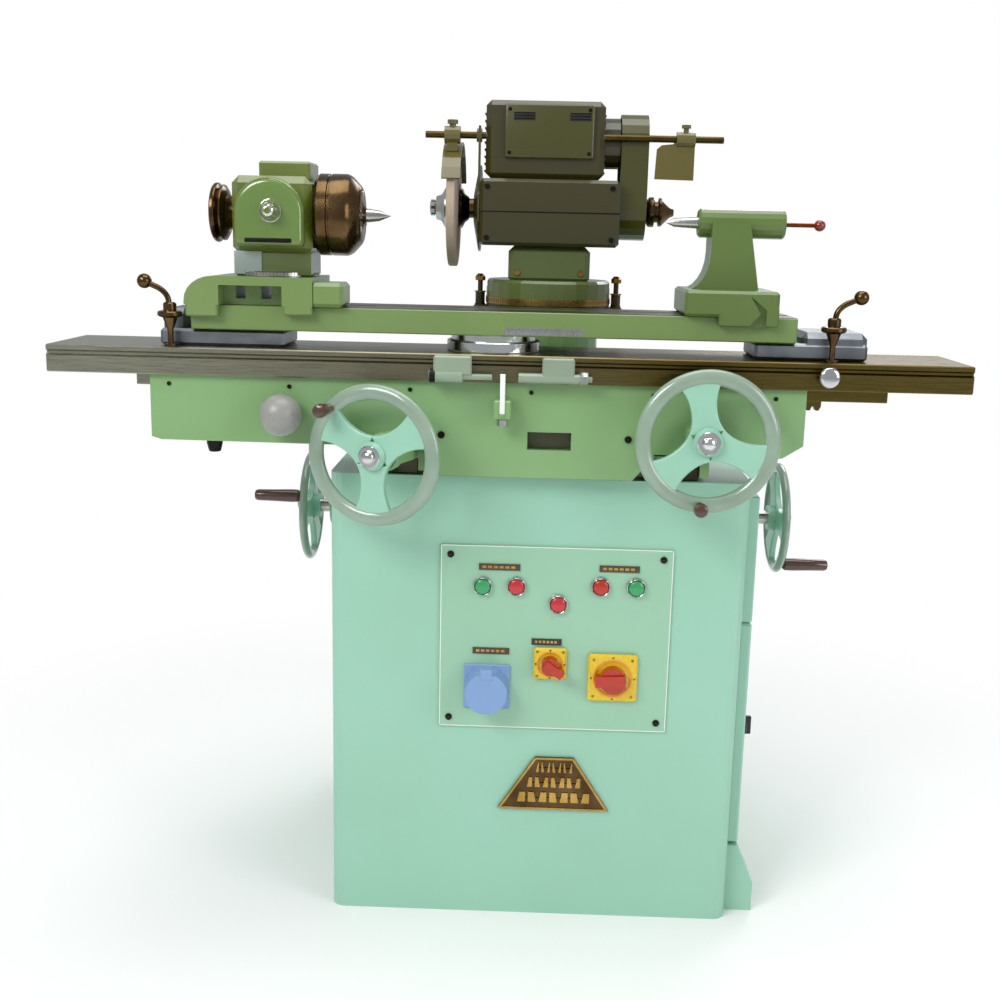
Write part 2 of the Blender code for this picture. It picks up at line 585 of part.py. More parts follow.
def handwheel(name, carrier, at, radius, axis, outward, spokes, finish="mint", bore=SHAFT_RADIUS, turn=0.0,
              rim=9 * MM, spoke_wide=24 * MM, spoke_thick=10 * MM, shaft=()):
    """Cast handwheel: a round rim, flat spokes and a hub that is bored, or keyed to the shaft given."""
    hoop = ring(axis, at, [(rim * 0.62 * sin(a), radius - rim + rim * cos(a))
                           for a in (2 * pi * i / 6 for i in range(6))], 20)
    hub_low, hub_high = sorted((-outward * 16 * MM, outward * 14 * MM))
    hub = turned(axis, at, [(hub_low, 20 * MM), (hub_high, 20 * MM)], 16)
    arms = []
    for i in range(spokes):
        angle = turn + 2 * pi * i / spokes
        reach = radius - rim
        arm = block((10 * MM, -spoke_wide / 2, -spoke_thick / 2), (reach, spoke_wide / 2, spoke_thick / 2))
        spin = Matrix.Rotation(angle, 4, "Z")
        lay = Matrix.Rotation(pi / 2, 4, "Y") if axis == "x" else Matrix.Rotation(pi / 2, 4, "X")
        arm.matrix_world = Matrix.Translation(at) @ lay @ spin @ arm.matrix_basis
        arms.append(arm)
    hole = [] if shaft else [turned(axis, at, [(-50 * MM, clear(bore)), (50 * MM, clear(bore))], 12)]
    return node(name, carrier, finish, hoop, [hub] + arms + list(shaft), hole)


def side_wheels(axis):
    """The two side handwheels on the ends of the cross shaft, with their crank grips."""
    for name, x, side, grip_y, grip_z in (("left", SIDE_LEFT_X, -1, -75 * MM, 30 * MM),
                                          ("right", SIDE_RIGHT_X, 1, -45 * MM, -67 * MM)):
        at = Vector((x, COLUMN_Y, SIDE_SHAFT_Z))
        handwheel("side_handwheel_" + name, axis, at, SIDE_WHEEL_RADIUS, "x", side, 3, "mint", turn=pi / 6)
        grip_at = at + Vector((side * 6.2 * MM, grip_y, grip_z))
        spin = pivot("grip_" + name, grip_at, axis)
        start = grip_at.x if side > 0 else grip_at.x - 72 * MM
        profile = [(0, 9 * MM), (8 * MM, 10.5 * MM), (62 * MM, 9.5 * MM), (70 * MM, 6 * MM)]
        grip = turned("x", (start, grip_at.y, grip_at.z), profile if side > 0 else
                      [(72 * MM - along, r) for along, r in reversed(profile)], 12)
        node("side_grip_" + name, spin, "bronze", grip)


base_ways()
column()
RAM = ram()
SIDE_AXIS = elevating_gear()
side_wheels(SIDE_AXIS)


# ---------------------------------------------------------------- saddle
SADDLE = pivot("saddle", (0, (SADDLE_FRONT + SADDLE_BACK) / 2, RAIL_TOP), FRAME)
PINION_RADIUS = 30 * MM
RACK_LOW = TRAVERSE_WHEEL[2] + PINION_RADIUS + RUN
RACK_Y = SADDLE_MID_Y + 2 * MM
STOP_X = -55 * MM
STOP_Y = -322 * MM
TILT_AXIS = Matrix.Rotation(-CROSS_TILT, 4, "Z")


def tilted(thing):
    """Swing a shape made on the straight cross-feed axis to its tilted place."""
    at = Vector(CROSS_WHEEL)
    bpy.context.view_layer.update()
    thing.matrix_world = Matrix.Translation(at) @ TILT_AXIS @ Matrix.Translation(-at) @ thing.matrix_world
    return thing


def saddle():
    """Cross slide casting: hollow beam, apron, two legs over the rails, guide channel and shaft bosses."""
    slope = 14 * MM
    beam = plate("xz", [(SADDLE_LEFT, SADDLE_LOW + 4 * MM), (SADDLE_LEFT + slope, SADDLE_LOW),
                        (SADDLE_RIGHT - 2 * slope, SADDLE_LOW - 4 * MM), (SADDLE_RIGHT, SADDLE_LOW + slope),
                        (SADDLE_RIGHT, SADDLE_TOP), (SADDLE_LEFT, SADDLE_TOP)],
                 SADDLE_FRONT, SADDLE_BACK - SADDLE_FRONT)
    apron = plate("xz", [(-150 * MM, 686 * MM), (128 * MM, 686 * MM), (140 * MM, 700 * MM), (140 * MM, 760 * MM),
                         (-162 * MM, 760 * MM), (-162 * MM, 700 * MM)], SADDLE_FRONT, 20 * MM)
    add = [apron]
    cut = []
    leg = RAIL_WIDTH / 2 + 14 * MM
    for x in (-RAIL_X, RAIL_X):
        add.append(block((x - leg, SADDLE_FRONT + 30 * MM, CABINET_HEIGHT + 6 * MM), (x + leg, 50 * MM, SADDLE_LOW + 30 * MM),
                         3 * MM))
        cut.append(block((x - RAIL_WIDTH / 2 - GAP, SADDLE_FRONT - 20 * MM, CABINET_HEIGHT),
                         (x + RAIL_WIDTH / 2 + GAP, 90 * MM, RAIL_TOP + GAP)))
    wall = 10 * MM
    channel_low = SADDLE_TOP - GUIDE_DEPTH
    cut.append(block((SADDLE_LEFT - wall, SADDLE_MID_Y - GUIDE_WIDTH / 2, channel_low),
                     (SADDLE_RIGHT + wall, SADDLE_MID_Y + GUIDE_WIDTH / 2, SADDLE_TOP + wall)))
    cut.append(block((SADDLE_LEFT + 110 * MM, SADDLE_FRONT + wall, RAIL_TOP + wall + 2 * MM),
                     (SADDLE_RIGHT - wall, SADDLE_BACK - wall, channel_low - 8 * MM)))
    cut.append(block((-190 * MM, RACK_Y - 9 * MM, RACK_LOW - 3 * MM),
                     (SADDLE_RIGHT + wall, RACK_Y + 9 * MM, channel_low + MM)))
    cut.append(block((-20 * MM, SADDLE_FRONT - wall, 726 * MM), (41 * MM, SADDLE_FRONT + 2 * wall, 751 * MM)))
    x, y, z = TRAVERSE_WHEEL
    add.append(turned("y", (x, SADDLE_FRONT - 22 * MM, z), [(0, 24 * MM), (3 * MM, 26 * MM), (50 * MM, 28 * MM)], 16))
    cut.append(rod("y", (x, SADDLE_FRONT - 40 * MM, z), 120 * MM, clear(SHAFT_RADIUS), 12))
    x, y, z = CROSS_WHEEL
    add.append(tilted(turned("y", (x, y + 24 * MM, z), [(0, 25 * MM), (3 * MM, 27 * MM), (60 * MM, 30 * MM)], 16)))
    cut.append(tilted(rod("y", (x, y + 5 * MM, z), 100 * MM, clear(SHAFT_RADIUS), 12)))
    x, z = LOCK_AT
    cut.append(rod("y", (x, SADDLE_FRONT - 20 * MM, z), 60 * MM, clear(7 * MM), 12))
    add.append(block((STOP_X - 12 * MM, STOP_Y - 12 * MM, 772 * MM), (STOP_X + 12 * MM, SADDLE_FRONT + 3 * MM, 798 * MM),
                     2 * MM))
    cut.append(rod("z", (STOP_X, STOP_Y, 760 * MM), 50 * MM, 5 * MM + GAP, 10))
    pointer = block((STOP_X - 3 * MM, STOP_Y - 14 * MM, 776 * MM), (STOP_X + 3 * MM, STOP_Y - 11 * MM, 834 * MM))
    plug = turned("z", (-468 * MM, SADDLE_FRONT + 38 * MM, 706 * MM), [(0, 8 * MM), (12 * MM, 11 * MM), (26 * MM, 11 * MM)], 10)
    node("saddle", SADDLE, "green", beam, add + [pointer, plug], cut)


LOCK_AT = (-359 * MM, 770 * MM)


def saddle_fittings():
    """Stop plunger and the table lock with its ball."""
    plunger = pivot("stop_plunger", (STOP_X, STOP_Y, 790 * MM), SADDLE)
    pin = turned("z", (STOP_X, STOP_Y, 762 * MM), [(0, 8 * MM), (9 * MM, 8 * MM), (9 * MM, 5 * MM), (47 * MM, 5 * MM),
                                                   (49 * MM, 3 * MM)], 10)
    node("stop_plunger", plunger, "steel", pin)
    x, z = LOCK_AT
    lock = pivot("table_lock", (x, SADDLE_FRONT, z), SADDLE)
    knob = turned("y", (x, SADDLE_FRONT - 58 * MM, z),
                  [(0, 6 * MM)] + [(29 * MM - 29 * MM * cos(pi * i / 10), 29 * MM * sin(pi * i / 10)) for i in range(2, 9)] +
                  [(56 * MM, 10 * MM), (57 * MM, 10 * MM)], 16)
    stem = rod("y", (x, SADDLE_FRONT - 12 * MM, z), 40 * MM, 7 * MM, 12)
    node("table_lock_knob", lock, "grey", knob, [stem])


def traverse_gear():
    """Shaft with its pinion and handwheel that drive the table rack."""
    x, y, z = TRAVERSE_WHEEL
    axis = pivot("traverse_wheel", (x, y, z), SADDLE)
    end = RACK_Y + 14 * MM
    shaft = rod("y", (x, y - 20 * MM, z), end - y + 20 * MM, SHAFT_RADIUS, 14)
    teeth = 15
    tooth = []
    for i in range(teeth):
        for spread, reach in ((-0.5, 0.86), (0.0, 1.0), (0.5, 0.86)):
            angle = 2 * pi * (i + 0.5 * spread) / teeth
            tooth.append((x + PINION_RADIUS * reach * cos(angle), z + PINION_RADIUS * reach * sin(angle)))
    gear = plate("xz", tooth, RACK_Y - 8 * MM, 16 * MM)
    handwheel("traverse_handwheel", axis, Vector((x, y, z)), FRONT_WHEEL_RADIUS, "y", -1, 3, "mint",
              turn=radians(100), rim=11 * MM, spoke_wide=34 * MM, shaft=[shaft, gear])
    reach = FRONT_WHEEL_RADIUS - 11 * MM
    grip_at = (x + reach * cos(radians(-96)), y - 7.4 * MM, z + reach * sin(radians(-96)))
    grip(axis, "traverse_grip", grip_at)
    return axis


def grip(axis, name, at):
    """Turning crank grip that stands off the front of a handwheel rim."""
    spin = pivot(name, at, axis)
    shape = turned("y", (at[0], at[1] - 40 * MM, at[2]),
                   [(0, 5 * MM), (4 * MM, 9 * MM), (32 * MM, 10 * MM), (40 * MM, 7 * MM)], 12)
    node(name, spin, "bronze", shape)


def cross_feed():
    """Tilted cross-feed handwheel on its stub shaft, and the feed screw under the saddle."""
    x, y, z = CROSS_WHEEL
    axis = pivot("cross_wheel", (x, y, z), SADDLE, (0, 0, -CROSS_TILT))
    wheel_at = Vector((x, y, z))
    shaft = rod("y", (x, y - 20 * MM, z), 92 * MM, SHAFT_RADIUS, 14)
    wheel = handwheel("cross_handwheel", axis, wheel_at, FRONT_WHEEL_RADIUS, "y", -1, 3, "mint",
                      turn=radians(30), rim=11 * MM, spoke_wide=34 * MM, shaft=[shaft])
    tilted(wheel)
    reach = FRONT_WHEEL_RADIUS - 11 * MM
    flat = Vector((reach * cos(radians(135)), -7.4 * MM, reach * sin(radians(135))))
    grip_at = wheel_at + flat
    spin_at = wheel_at + TILT_AXIS @ flat
    spin = pivot("cross_grip", spin_at, axis, (0, 0, -CROSS_TILT))
    shape = tilted(turned("y", (grip_at.x, grip_at.y - 40 * MM, grip_at.z),
                          [(0, 5 * MM), (4 * MM, 9 * MM), (32 * MM, 10 * MM), (40 * MM, 7 * MM)], 12))
    node("cross_grip", spin, "bronze", shape)


saddle()
saddle_fittings()
traverse_gear()
cross_feed()


# ---------------------------------------------------------------- tables
TABLE = pivot("table", (0, SADDLE_MID_Y, TABLE_LOW), SADDLE)
SWIVEL = pivot("swivel_table", (PIVOT_X, SADDLE_MID_Y, TABLE_TOP), TABLE)
GUIDE_LEFT = -577 * MM
GUIDE_RIGHT = 482 * MM
DOG_Z = TABLE_LOW + 3 * MM
PIN_RADIUS = 14 * MM


def lower_table():
    """Long ground table with its underside guide, the dog groove in front and the rack beneath."""
    slab = block((TABLE_LEFT, TABLE_FRONT, TABLE_LOW), (TABLE_RIGHT, TABLE_BACK, TABLE_TOP), 1.5 * MM)
    guide = block((GUIDE_LEFT, SADDLE_MID_Y - GUIDE_WIDTH / 2 + GAP, SADDLE_TOP - GUIDE_DEPTH + GAP),
                  (GUIDE_RIGHT, SADDLE_MID_Y + GUIDE_WIDTH / 2 - GAP, TABLE_LOW + 2 * MM), MM)
    groove_z = TABLE_TOP - 11 * MM
    groove = plate("yz", [(TABLE_FRONT - 4 * MM, groove_z - 6 * MM), (TABLE_FRONT + 5 * MM, groove_z - 1.5 * MM),
                          (TABLE_FRONT + 5 * MM, groove_z + 1.5 * MM), (TABLE_FRONT - 4 * MM, groove_z + 6 * MM)],
                   TABLE_LEFT - 5 * MM, TABLE_RIGHT - TABLE_LEFT + 10 * MM)
    hole = rod("z", (PIVOT_X, SADDLE_MID_Y, TABLE_TOP - 20 * MM), 30 * MM, PIN_RADIUS + GAP, 14)
    knob_hole = rod("y", (386 * MM, TABLE_FRONT - 5 * MM, TABLE_TOP - 18 * MM), 30 * MM, clear(5 * MM), 10)
    pitch = 4 * pi * MM
    left = TRAVERSE_WHEEL[0] - 190 * MM
    count = 29
    top = SADDLE_TOP - GUIDE_DEPTH + 3 * MM
    outline = [(left, top), (left + count * pitch, top)]
    for i in reversed(range(count)):
        base = left + i * pitch
        outline += [(base + 0.98 * pitch, RACK_LOW + 6 * MM), (base + 0.75 * pitch, RACK_LOW),
                    (base + 0.4 * pitch, RACK_LOW), (base + 0.15 * pitch, RACK_LOW + 6 * MM)]
    rack = plate("xz", outline, RACK_Y - 6 * MM, 12 * MM)
    node("lower_table", TABLE, "ground", slab, [guide, rack], [groove, hole, knob_hole])
    plunger = pivot("index_plunger", (386 * MM, TABLE_FRONT, TABLE_TOP - 18 * MM), TABLE)
    knob = turned("y", (386 * MM, TABLE_FRONT - 18 * MM, TABLE_TOP - 18 * MM),
                  [(0, 9 * MM), (2 * MM, 14 * MM), (9 * MM, 14 * MM), (12 * MM, 7 * MM), (17 * MM, 7 * MM),
                   (17 * MM, 5 * MM), (40 * MM, 5 * MM)], 14)
    node("index_plunger", plunger, "steel", knob)


def dogs():
    """Two trip dogs clamped to the front of the table, each with an adjusting barrel and nut."""
    face = TABLE_FRONT - GAP
    left = block((-150 * MM, face - 18 * MM, DOG_Z + 8 * MM), (-98 * MM, face, TABLE_TOP - MM), 2 * MM)
    left_barrel = rod("x", (-156 * MM, STOP_Y - 0.5 * MM, DOG_Z + 6 * MM), 46 * MM, 8.7 * MM, 14)
    left_rod = rod("x", (-118 * MM, STOP_Y - 0.5 * MM, DOG_Z + 6 * MM), 48 * MM, 4.2 * MM, 10)
    right = block((-2 * MM, face - 18 * MM, DOG_Z + 8 * MM), (42 * MM, face, TABLE_TOP - MM), 2 * MM)
    right_barrel = rod("x", (-34 * MM, STOP_Y - 0.5 * MM, DOG_Z + 6 * MM), 84 * MM, 7 * MM, 12)
    nut = rod("x", (50.4 * MM, STOP_Y - 0.5 * MM, DOG_Z + 6 * MM), 10 * MM, 9 * MM, 6)
    tip = rod("x", (46 * MM, STOP_Y - 0.5 * MM, DOG_Z + 6 * MM), 20 * MM, 4 * MM, 10)
    node("trip_dog_left", TABLE, "green", left, [left_barrel, left_rod])
    node("trip_dog_right", TABLE, "green", right, [right_barrel, tip, nut])


def end_pads():
    """Pads under both ends of the swivel table, with the end brackets and the clamp studs."""
    low = TABLE_TOP + GAP
    high = SWIVEL_LOW - GAP
    back = SWIVEL_BACK - 12 * MM
    stud_y = SWIVEL_FRONT - 9 * MM
    left = block((-536 * MM, SWIVEL_FRONT + 8 * MM, low), (-362 * MM, back, high), 4 * MM)
    left_end = block((-536 * MM, SWIVEL_FRONT + 22 * MM, low), (-499 * MM, back, 908 * MM), 8 * MM)
    right = block((290 * MM, SWIVEL_FRONT + 8 * MM, low), (445 * MM, back, high), 4 * MM)
    right_end = block((354 * MM, SWIVEL_FRONT + 10 * MM, low), (445 * MM, back, 896 * MM), 8 * MM)
    node("end_pad_left", TABLE, "ground", left, [left_end])
    node("end_pad_right", TABLE, "ground", right, [right_end])
    for name, x, side, top in (("left", -516 * MM, -1, 884 * MM), ("right", 392 * MM, 1, 884 * MM)):
        turn = pivot("clamp_lever_" + name, (x, stud_y, low), TABLE)
        stud = turned("z", (x, stud_y, low), [(0, 9 * MM), (3 * MM, 9 * MM), (3 * MM, 4 * MM), (20 * MM, 4 * MM),
                                              (40 * MM, 11 * MM), (42 * MM, 17 * MM), (48 * MM, 17 * MM),
                                              (50 * MM, 9 * MM), (60 * MM, 9 * MM)], 12)
        foot_at = Vector((x, stud_y, low + 54 * MM))
        tip = foot_at + Vector((side * 34 * MM, 0, 34 * MM))
        arm = pipe([foot_at, foot_at + Vector((side * 4 * MM, 0, 16 * MM)), tip], 4 * MM)
        node("clamp_lever_" + name, turn, "bronze", stud, [arm, ball(tip, 10 * MM)])


def swivel_table():
    """Upper table with its T-slot, and the pivot disc and pin under it."""
    middle = SADDLE_MID_Y
    disc = turned("z", (PIVOT_X, middle, TABLE_TOP - 18 * MM),
                  [(0, PIN_RADIUS), (18 * MM + GAP, PIN_RADIUS), (18 * MM + GAP, PIVOT_RADIUS),
                   (14 * MM + 18 * MM, PIVOT_RADIUS), (14 * MM + 20 * MM, PIVOT_RADIUS - 6 * MM),
                   (19 * MM + SWIVEL_GAP, PIVOT_RADIUS - 6 * MM)], 28)
    slab = block((SWIVEL_LEFT, SWIVEL_FRONT, SWIVEL_LOW), (SWIVEL_RIGHT, SWIVEL_BACK, SWIVEL_TOP), 1.5 * MM)
    long = SWIVEL_RIGHT - SWIVEL_LEFT + 20 * MM
    slot = block((SWIVEL_LEFT - 10 * MM, middle - SLOT_WIDTH / 2, SWIVEL_TOP - SLOT_DEPTH),
                 (SWIVEL_LEFT - 10 * MM + long, middle + SLOT_WIDTH / 2, SWIVEL_TOP + 5 * MM))
    tee = block((SWIVEL_LEFT - 10 * MM, middle - SLOT_WIDTH, SWIVEL_TOP - SLOT_DEPTH - 6 * MM),
                (SWIVEL_LEFT - 10 * MM + long, middle + SLOT_WIDTH, SWIVEL_TOP - SLOT_DEPTH + 2 * MM))
    node("swivel_table", SWIVEL, "green", slab, [disc], [slot, tee])


lower_table()
dogs()
end_pads()
swivel_table()


# ---------------------------------------------------------------- workhead
SEAT = SWIVEL_TOP + GAP
WORKHEAD_SLIDE = pivot("workhead_slide", (WORKHEAD_X, SADDLE_MID_Y, SEAT), SWIVEL)
WORKHEAD_SWIVEL = pivot("workhead_swivel", (WORKHEAD_X, CENTRE_Y, SEAT), WORKHEAD_SLIDE)
WORKHEAD_BASE_TOP = 955 * MM
WORK_SPINDLE_RADIUS = 16 * MM


def jaw(left, right, low):
    """Front lip of a head's base that hooks over the front edge of the swivel table."""
    return block((left, SWIVEL_FRONT - 16 * MM, low), (right, SWIVEL_FRONT - GAP, SEAT + 14 * MM), 2 * MM)


def workhead():
    """Workhead: bridge base, swivelling body, spindle with its nose and centre, and the drive pulley."""
    front = SWIVEL_FRONT - 16 * MM
    back = SWIVEL_BACK + 10 * MM
    left = WORKHEAD_X - 115 * MM
    right = WORKHEAD_X + 62 * MM
    arc = [(left + 40 * MM - 40 * MM * cos(a), WORKHEAD_BASE_TOP - 34 * MM + 34 * MM * sin(a))
           for a in (pi / 2 * i / 6 for i in range(7))]
    base = plate("xz", [(left, SEAT)] + arc + [(right, WORKHEAD_BASE_TOP), (right, SEAT)], front, back - front)
    lips = [jaw(left + 2 * MM, left + 46 * MM, 900 * MM), jaw(WORKHEAD_X + 22 * MM, right - MM, 904 * MM)]
    clamp = block((right - 3 * MM, front, SEAT), (WORKHEAD_X + 104 * MM, front + 70 * MM, WORKHEAD_BASE_TOP - 6 * MM),
                  5 * MM)
    recess = block((left + 48 * MM, front - 5 * MM, SEAT - 5 * MM), (WORKHEAD_X + 20 * MM, front + 30 * MM,
                                                                  WORKHEAD_BASE_TOP - 12 * MM))
    holes = [block((x, front, SEAT + 8 * MM), (x + 14 * MM, back + 5 * MM, WORKHEAD_BASE_TOP - 12 * MM))
             for x in (WORKHEAD_X - 50 * MM, WORKHEAD_X - 14 * MM)]
    under = block((left + 4 * MM, SWIVEL_FRONT - 2 * MM, SEAT - 20 * MM), (right + 60 * MM, back, SEAT))
    node("workhead_base", WORKHEAD_SLIDE, "green", base, lips + [clamp], [recess] + holes + [under])
    z = CENTRE_Z
    x = WORKHEAD_X
    neck = block((x - 52 * MM, CENTRE_Y - 42 * MM, WORKHEAD_BASE_TOP + GAP), (x + 54 * MM, CENTRE_Y + 42 * MM, 990 * MM),
                 3 * MM)
    body = block((x - 55 * MM, CENTRE_Y - 46 * MM, 984 * MM), (x + 56 * MM, CENTRE_Y + 50 * MM, z + 50 * MM), 10 * MM)
    cap = block((x - 18 * MM, CENTRE_Y - 34 * MM, z + 44 * MM), (x + 53 * MM, CENTRE_Y + 34 * MM, z + 70 * MM), 3 * MM)
    half = 46 * MM
    arch = [(x - half, z - 42 * MM)] + [(x - half * cos(a), z + half * sin(a)) for a in
                                        (pi * i / 12 for i in range(13))] + [(x + half, z - 42 * MM)]
    boss = plate("xz", arch, CENTRE_Y - 64 * MM, 30 * MM)
    bolt = turned("y", (x + 4 * MM, CENTRE_Y - 88 * MM, z + 3 * MM),
                  [(0, 4 * MM), (3 * MM, 9 * MM), (8 * MM, 11 * MM), (16 * MM, 11 * MM), (18 * MM, 15 * MM),
                   (28 * MM, 15 * MM)], 12)
    bore = rod("x", (x - 80 * MM, CENTRE_Y, z), 160 * MM, clear(WORK_SPINDLE_RADIUS), 16)
    node("workhead_body", WORKHEAD_SWIVEL, "green", body, [neck, cap, boss, bolt], [bore])
    turn = pivot("work_spindle", (x, CENTRE_Y, z), WORKHEAD_SWIVEL)
    start = x - 92 * MM
    face = x + 57 * MM - start
    spindle = turned("x", (start, CENTRE_Y, z),
                     [(0, 10 * MM), (36 * MM, 10 * MM), (36.4 * MM, WORK_SPINDLE_RADIUS), (face, WORK_SPINDLE_RADIUS),
                      (face, 50 * MM), (face + 6 * MM, 56 * MM), (face + 44 * MM, 56 * MM), (face + 50 * MM, 53 * MM),
                      (face + 62 * MM, 40 * MM), (face + 66 * MM, 14 * MM), (face + 70 * MM, 8 * MM),
                      (face + 88 * MM, 7 * MM), (face + 103 * MM, 1 * MM)], 20)
    pulley = turned("x", (start + 3 * MM, CENTRE_Y, z),
                    [(0, 38 * MM), (6 * MM, 41 * MM), (12 * MM, 39 * MM), (20 * MM, 24 * MM), (31 * MM, 20 * MM)], 20)
    node("work_spindle", turn, "bronze", spindle, [pulley])


# ---------------------------------------------------------------- tailstock
TAIL_SLIDE = pivot("tailstock_slide", (TAILSTOCK_X, SADDLE_MID_Y, SEAT), SWIVEL)
QUILL_RADIUS = 9 * MM
TAIL_BASE_TOP = 951 * MM


def tailstock():
    """Tailstock body that hooks over the swivel table, with a sprung quill, centre and release rod."""
    x = TAILSTOCK_X - MM
    z = CENTRE_Z
    left = TAILSTOCK_X - 67 * MM
    front = SWIVEL_FRONT - 16 * MM
    back = SWIVEL_BACK + 6 * MM
    foot_block = block((left, front, SEAT), (TAILSTOCK_X + 61 * MM, back, TAIL_BASE_TOP), 4 * MM)
    lip = jaw(TAILSTOCK_X - 20 * MM, TAILSTOCK_X + 61 * MM, 903 * MM)
    notch = plate("xz", [(TAILSTOCK_X + 14 * MM, 896 * MM), (TAILSTOCK_X + 36 * MM, 921 * MM),
                         (TAILSTOCK_X + 22 * MM, 944 * MM), (TAILSTOCK_X + 44 * MM, 926 * MM),
                         (TAILSTOCK_X + 44 * MM, 896 * MM)], front - 5 * MM, 12.3 * MM)
    flare = [(x - 28 * MM - 34 * MM * (1 - sin(a)), TAIL_BASE_TOP - 2 * MM + 52 * MM * (1 - cos(a)))
             for a in (pi / 2 * i / 6 for i in range(7))]
    waist = plate("xz", flare + [(x - 28 * MM, z), (x + 24 * MM, z), (x + 40 * MM, TAIL_BASE_TOP - 2 * MM)],
                  CENTRE_Y - 30 * MM, 60 * MM)
    barrel = turned("x", (TAILSTOCK_X - 46 * MM, CENTRE_Y, z),
                    [(0, 17 * MM), (3 * MM, 20 * MM), (117 * MM, 20 * MM), (120 * MM, 18 * MM)], 16)
    bore = rod("x", (TAILSTOCK_X - 60 * MM, CENTRE_Y, z), 100 * MM, clear(QUILL_RADIUS), 14)
    rod_bore = rod("x", (TAILSTOCK_X, CENTRE_Y, z), 90 * MM, clear(3 * MM), 10)
    node("tailstock_body", TAIL_SLIDE, "green", foot_block, [lip, waist, barrel], [notch, bore, rod_bore])
    slide = pivot("tailstock_quill", (TAILSTOCK_X - 91 * MM, CENTRE_Y, z), TAIL_SLIDE)
    tip = TAILSTOCK_X - 91 * MM
    quill = turned("x", (tip, CENTRE_Y, z),
                   [(0, 0.5 * MM), (12 * MM, 6 * MM), (44 * MM, 8 * MM), (44 * MM, QUILL_RADIUS), (108 * MM, QUILL_RADIUS),
                    (108 * MM, 3 * MM), (210 * MM, 3 * MM)], 14)
    node("tailstock_quill", slide, "steel", quill, [ball((tip + 214 * MM, CENTRE_Y, z), 8 * MM)])


workhead()
tailstock()

# ---------------------------------------------------------------- wheelhead
HEAD = pivot("wheelhead", (COLUMN_X, COLUMN_Y, RAM_TOP), RAM)
BLOCK_LOW = 1000 * MM
BLOCK_TOP = 1102 * MM
BODY_LEFT = -103 * MM
BODY_RIGHT = 110 * MM
SPINDLE_RADIUS = 15 * MM
COVER_RIGHT = 152 * MM
BELT_X = 124 * MM
BELT_WIDTH = 12 * MM
PULLEY_RADIUS = 26 * MM
ROD_RADIUS = 5 * MM


def oblong(centre_low, centre_high, radius, steps=10):
    """Outline in YZ of a round-ended slot between two pulley centres."""
    points = []
    for i in range(steps + 1):
        a = pi * i / steps
        points.append((COLUMN_Y + radius * cos(a), centre_high + radius * sin(a)))
    for i in range(steps + 1):
        a = pi + pi * i / steps
        points.append((COLUMN_Y + radius * cos(a), centre_low + radius * sin(a)))
    return points


def wheelhead():
    """Swivel base with its neck, spindle housing, motor case and front terminal cover."""
    base = turned("z", (COLUMN_X, COLUMN_Y, RAM_TOP + GAP),
                  [(0, BASE_RADIUS), (34 * MM, BASE_RADIUS), (38 * MM, BASE_RADIUS - 4 * MM)], 28)
    ears = [block((COLUMN_X + side * BOLT_X - 10 * MM, COLUMN_Y - 14 * MM, RAM_TOP + 26 * MM),
                  (COLUMN_X + side * BOLT_X + 10 * MM, COLUMN_Y + 14 * MM, RAM_TOP + 60 * MM)) for side in (-1, 1)]
    neck = block((-58 * MM, -58 * MM, RAM_TOP + 34 * MM), (68 * MM, 58 * MM, BLOCK_LOW + 2 * MM), 8 * MM)
    node("swivel_base", HEAD, "green", base, [neck], ears)
    body = block((BODY_LEFT, -72 * MM, BLOCK_LOW + 2 * MM + GAP), (BODY_RIGHT, 72 * MM, BLOCK_TOP), 5 * MM)
    bore = rod("x", (BODY_LEFT - 10 * MM, COLUMN_Y, SPINDLE_Z), BODY_RIGHT - BODY_LEFT + 20 * MM,
               clear(SPINDLE_RADIUS), 16)
    node("wheelhead_body", HEAD, "olive", body, cut=[bore])
    low = BLOCK_TOP + GAP
    case = block((-96 * MM, -62 * MM, low), (84 * MM, 76 * MM, 1217 * MM), 8 * MM)
    bell = rod("x", (80 * MM, COLUMN_Y, MOTOR_Z), 29 * MM, 38 * MM, 18)
    bay = rod("x", (-84 * MM, COLUMN_Y, MOTOR_Z), 158 * MM, 46 * MM, 16)
    shaft = rod("x", (60 * MM, COLUMN_Y, MOTOR_Z), 60 * MM, clear(9 * MM), 14)
    cover = block((-67 * MM, -69 * MM, 1133 * MM), (67 * MM, -58 * MM, 1210 * MM), 3 * MM)
    slots = [block((x, -72 * MM, 1188 * MM), (x + 32 * MM, -66 * MM, 1200 * MM)) for x in (-54 * MM, 30 * MM)]
    left_end = -188 * MM
    left = rod("x", (left_end, ROD_Y, ROD_Z), -90 * MM - left_end, ROD_RADIUS, 12)
    right = rod("x", (78 * MM, ROD_Y, ROD_Z), 185 * MM, ROD_RADIUS, 12)
    node("motor_case", HEAD, "olive", case, [bell, cover, left, right], [bay, shaft] + slots)


